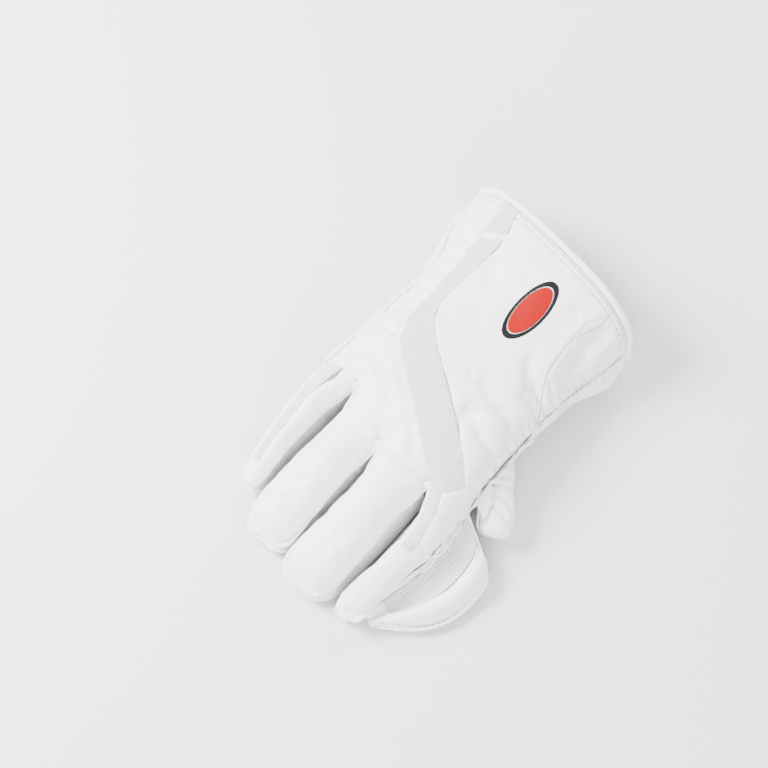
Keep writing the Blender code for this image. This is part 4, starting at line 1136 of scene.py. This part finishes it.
THUMB_OUTER_LINE = [(36.9, 25.9, 16.2), (51.2, 8.5, 10.9), (63.1, -5.8, 8.8), (70.6, -14.9, 8.1),
                    (77.0, -23.4, 7.0), (82.2, -31.9, 5.9), (84.1, -35.6, 5.5), (85.1, -38.8, 6.5)]
THUMB_CREASES = (0.0011, 0.017)
THUMB_UNEVEN = ((0.0006, 0.02), (0.00025, 0.008))
CROTCH_UNEVEN = (0.0010, 0.012)
THUMB_SWAY = (0.0008, 0.007)
THUMB_ROLL = (0.0010, 0.4)

thumb = rounded(copy_of("thumb_back_leather", "thumb_back", crease=0.3), levels=3)
worked(thumb, drawn(tree_of(thumb), THUMB_FOLDS))
creased(thumb, *THUMB_CREASES)
uneven(thumb, THUMB_UNEVEN)
placed(thumb, white_leather, "white_leather", "thumb_back")
crotch = rounded(copy_of("thumb_gusset_leather", "thumb_gusset", crease=0.0), levels=4)
uneven(crotch, [CROTCH_UNEVEN])
placed(crotch, white_leather, "white_leather", "thumb_gusset")
thumb_face = rounded(copy_of("thumb_face", "thumb_palm", crease=0.3), levels=3)
placed(thumb_face, cream_rubber, "pimpled_rubber", "thumb_palm")
pimples_on("thumb_pimples", thumb_face)
for name, seam in (("thumb_inner_roll", THUMB_SEAM_LINE), ("thumb_outer_roll", THUMB_OUTER_LINE)):
    line = smooth_line(seam)
    upright = np.tile((0.0, 0.0, 1.0), (len(line), 1))
    thumb_roll = roll(name, wavy(line, upright, *THUMB_SWAY), *THUMB_ROLL)
    placed(thumb_roll, white_leather, "white_leather")

# The web between thumb and index finger: white leather with a mesh vent on the back, a plump
# border, and a pimpled facing with a cross strap on the palm side. Its inner edge is gathered
# into a double ruffle along the hand's seam.
WEB_INNER = [(61.0, 32, 35.2), (60.6, 16, 36.6), (60.4, 0, 37.0), (60.2, -16, 36.6), (60.2, -32, 35.8),
             (60.0, -44, 34.8), (60.0, -56, 33.0), (60.6, -69.4, 31.0), (60.4, -85.4, 28.2),
             (59.0, -101.4, 25.2)]
WEB_BORDER = [(64, -138, 8), (74, -131, 8), (82, -123, 8), (88, -114, 8), (92.5, -103, 9), (95, -91, 10),
              (95.5, -80, 13), (93, -70, 17)]
WEB_HEM = [(60, -147.5), (70, -140.5), (80, -133), (88, -125), (94.5, -115.5), (98.5, -104), (99.8, -92)]
WEB_EDGE = [(59, -151, 6.6), (67.3, -145.2, 6.0), (77.4, -137.6, 5.7), (86.6, -129.6, 5.8),
            (93.6, -120.8, 6.0), (98.7, -110.7, 6.5), (102.0, -98.1, 7.2), (103.0, -86.2, 8.6),
            (102.2, -75.8, 10.8), (99.0, -67.2, 14.0)]
WEB_DENTS = (
    ([(62, -58), (70, -74), (72, -96), (66, -118)], 0.0014, 0.006),
    ([(76, -60), (84, -76), (84, -96)], 0.0008, 0.006),
    ([(64, -70), (74, -66), (84, -62)], 0.0008, 0.0035),
)
BORDER_RIDGE = (-0.0016, 0.006)
BORDER_LIFT = 0.01
WEB_CREASES = (0.0009, 0.02)
WEB_UNEVEN = ((0.0006, 0.018), (0.0002, 0.007))
HEM_GROOVE = (0.0006, 0.0012)
HEM_STITCH = (0.0042, 0.0024, 0.0003)
WEB_ROLL = (0.0013, 0.4)
RUFFLE_GRAIN = 140
RUFFLE_SWAY = (0.0024, 0, 0.0016)
RUFFLE_WOBBLE = 0.6

# The ruffles: the first of their points on the inner edge, their shift in x and z, their radius
# and where they read the noise
WEB_RUFFLES = ((0, 0.0010, 0.0, 0.0013, 0), (6, 0.0038, -0.0012, 0.0011, 5))
RUFFLE_AXES = (0, 9, 18)

web = rounded(copy_of("web_leather", "web_back", crease=0.3), levels=3)
web_tree = tree_of(web)
border, _ = nearest(web_tree, smooth_line(WEB_BORDER) + np.array((0, 0, BORDER_LIFT)))
web_dents = drawn(web_tree, WEB_DENTS)
worked(web, [(border, *BORDER_RIDGE)] + web_dents)
creased(web, *WEB_CREASES)
uneven(web, WEB_UNEVEN)
web_hem, _ = laid_on(tree_of(web), smooth_line(WEB_HEM))
worked(web, [(web_hem, *HEM_GROOVE)])
placed(web, white_leather, "white_leather", "web_back")
web_edge = roll("web_edge_roll", smooth_line(WEB_EDGE), *WEB_ROLL)
placed(web_edge, white_leather, "white_leather")
sewn("web_hem_stitches", *laid_on(tree_of(web), smooth_line(WEB_HEM)), HEM_STITCH, grey_thread)
web_mesh = rounded(copy_of("web_mesh", "web_vent"), levels=3)
worked(web_mesh, web_dents)
placed(web_mesh, vent_mesh, "vent_mesh", "web_vent")
for name in ("web_facing", "web_strap"):
    facing = rounded(copy_of(name + "_rubber", name), levels=3)
    placed(facing, cream_rubber, "pimpled_rubber", name)
    faced(facing)
    pimples_on(name + "_pimples", facing)
for number, (first, across, up, radius, start) in enumerate(WEB_RUFFLES, 1):
    ruffle_line = smooth_line(WEB_INNER[first:]) + np.array((across, 0, up))
    sway = np.array([[noise.noise(Vector(point) * RUFFLE_GRAIN + Vector((start + axis, 0, 0)))
                      for axis in RUFFLE_AXES] for point in ruffle_line])
    ruffle = roll("web_ruffle_%d" % number, ruffle_line + sway * np.array(RUFFLE_SWAY), radius,
                  RUFFLE_WOBBLE)
    placed(ruffle, white_leather, "white_leather")
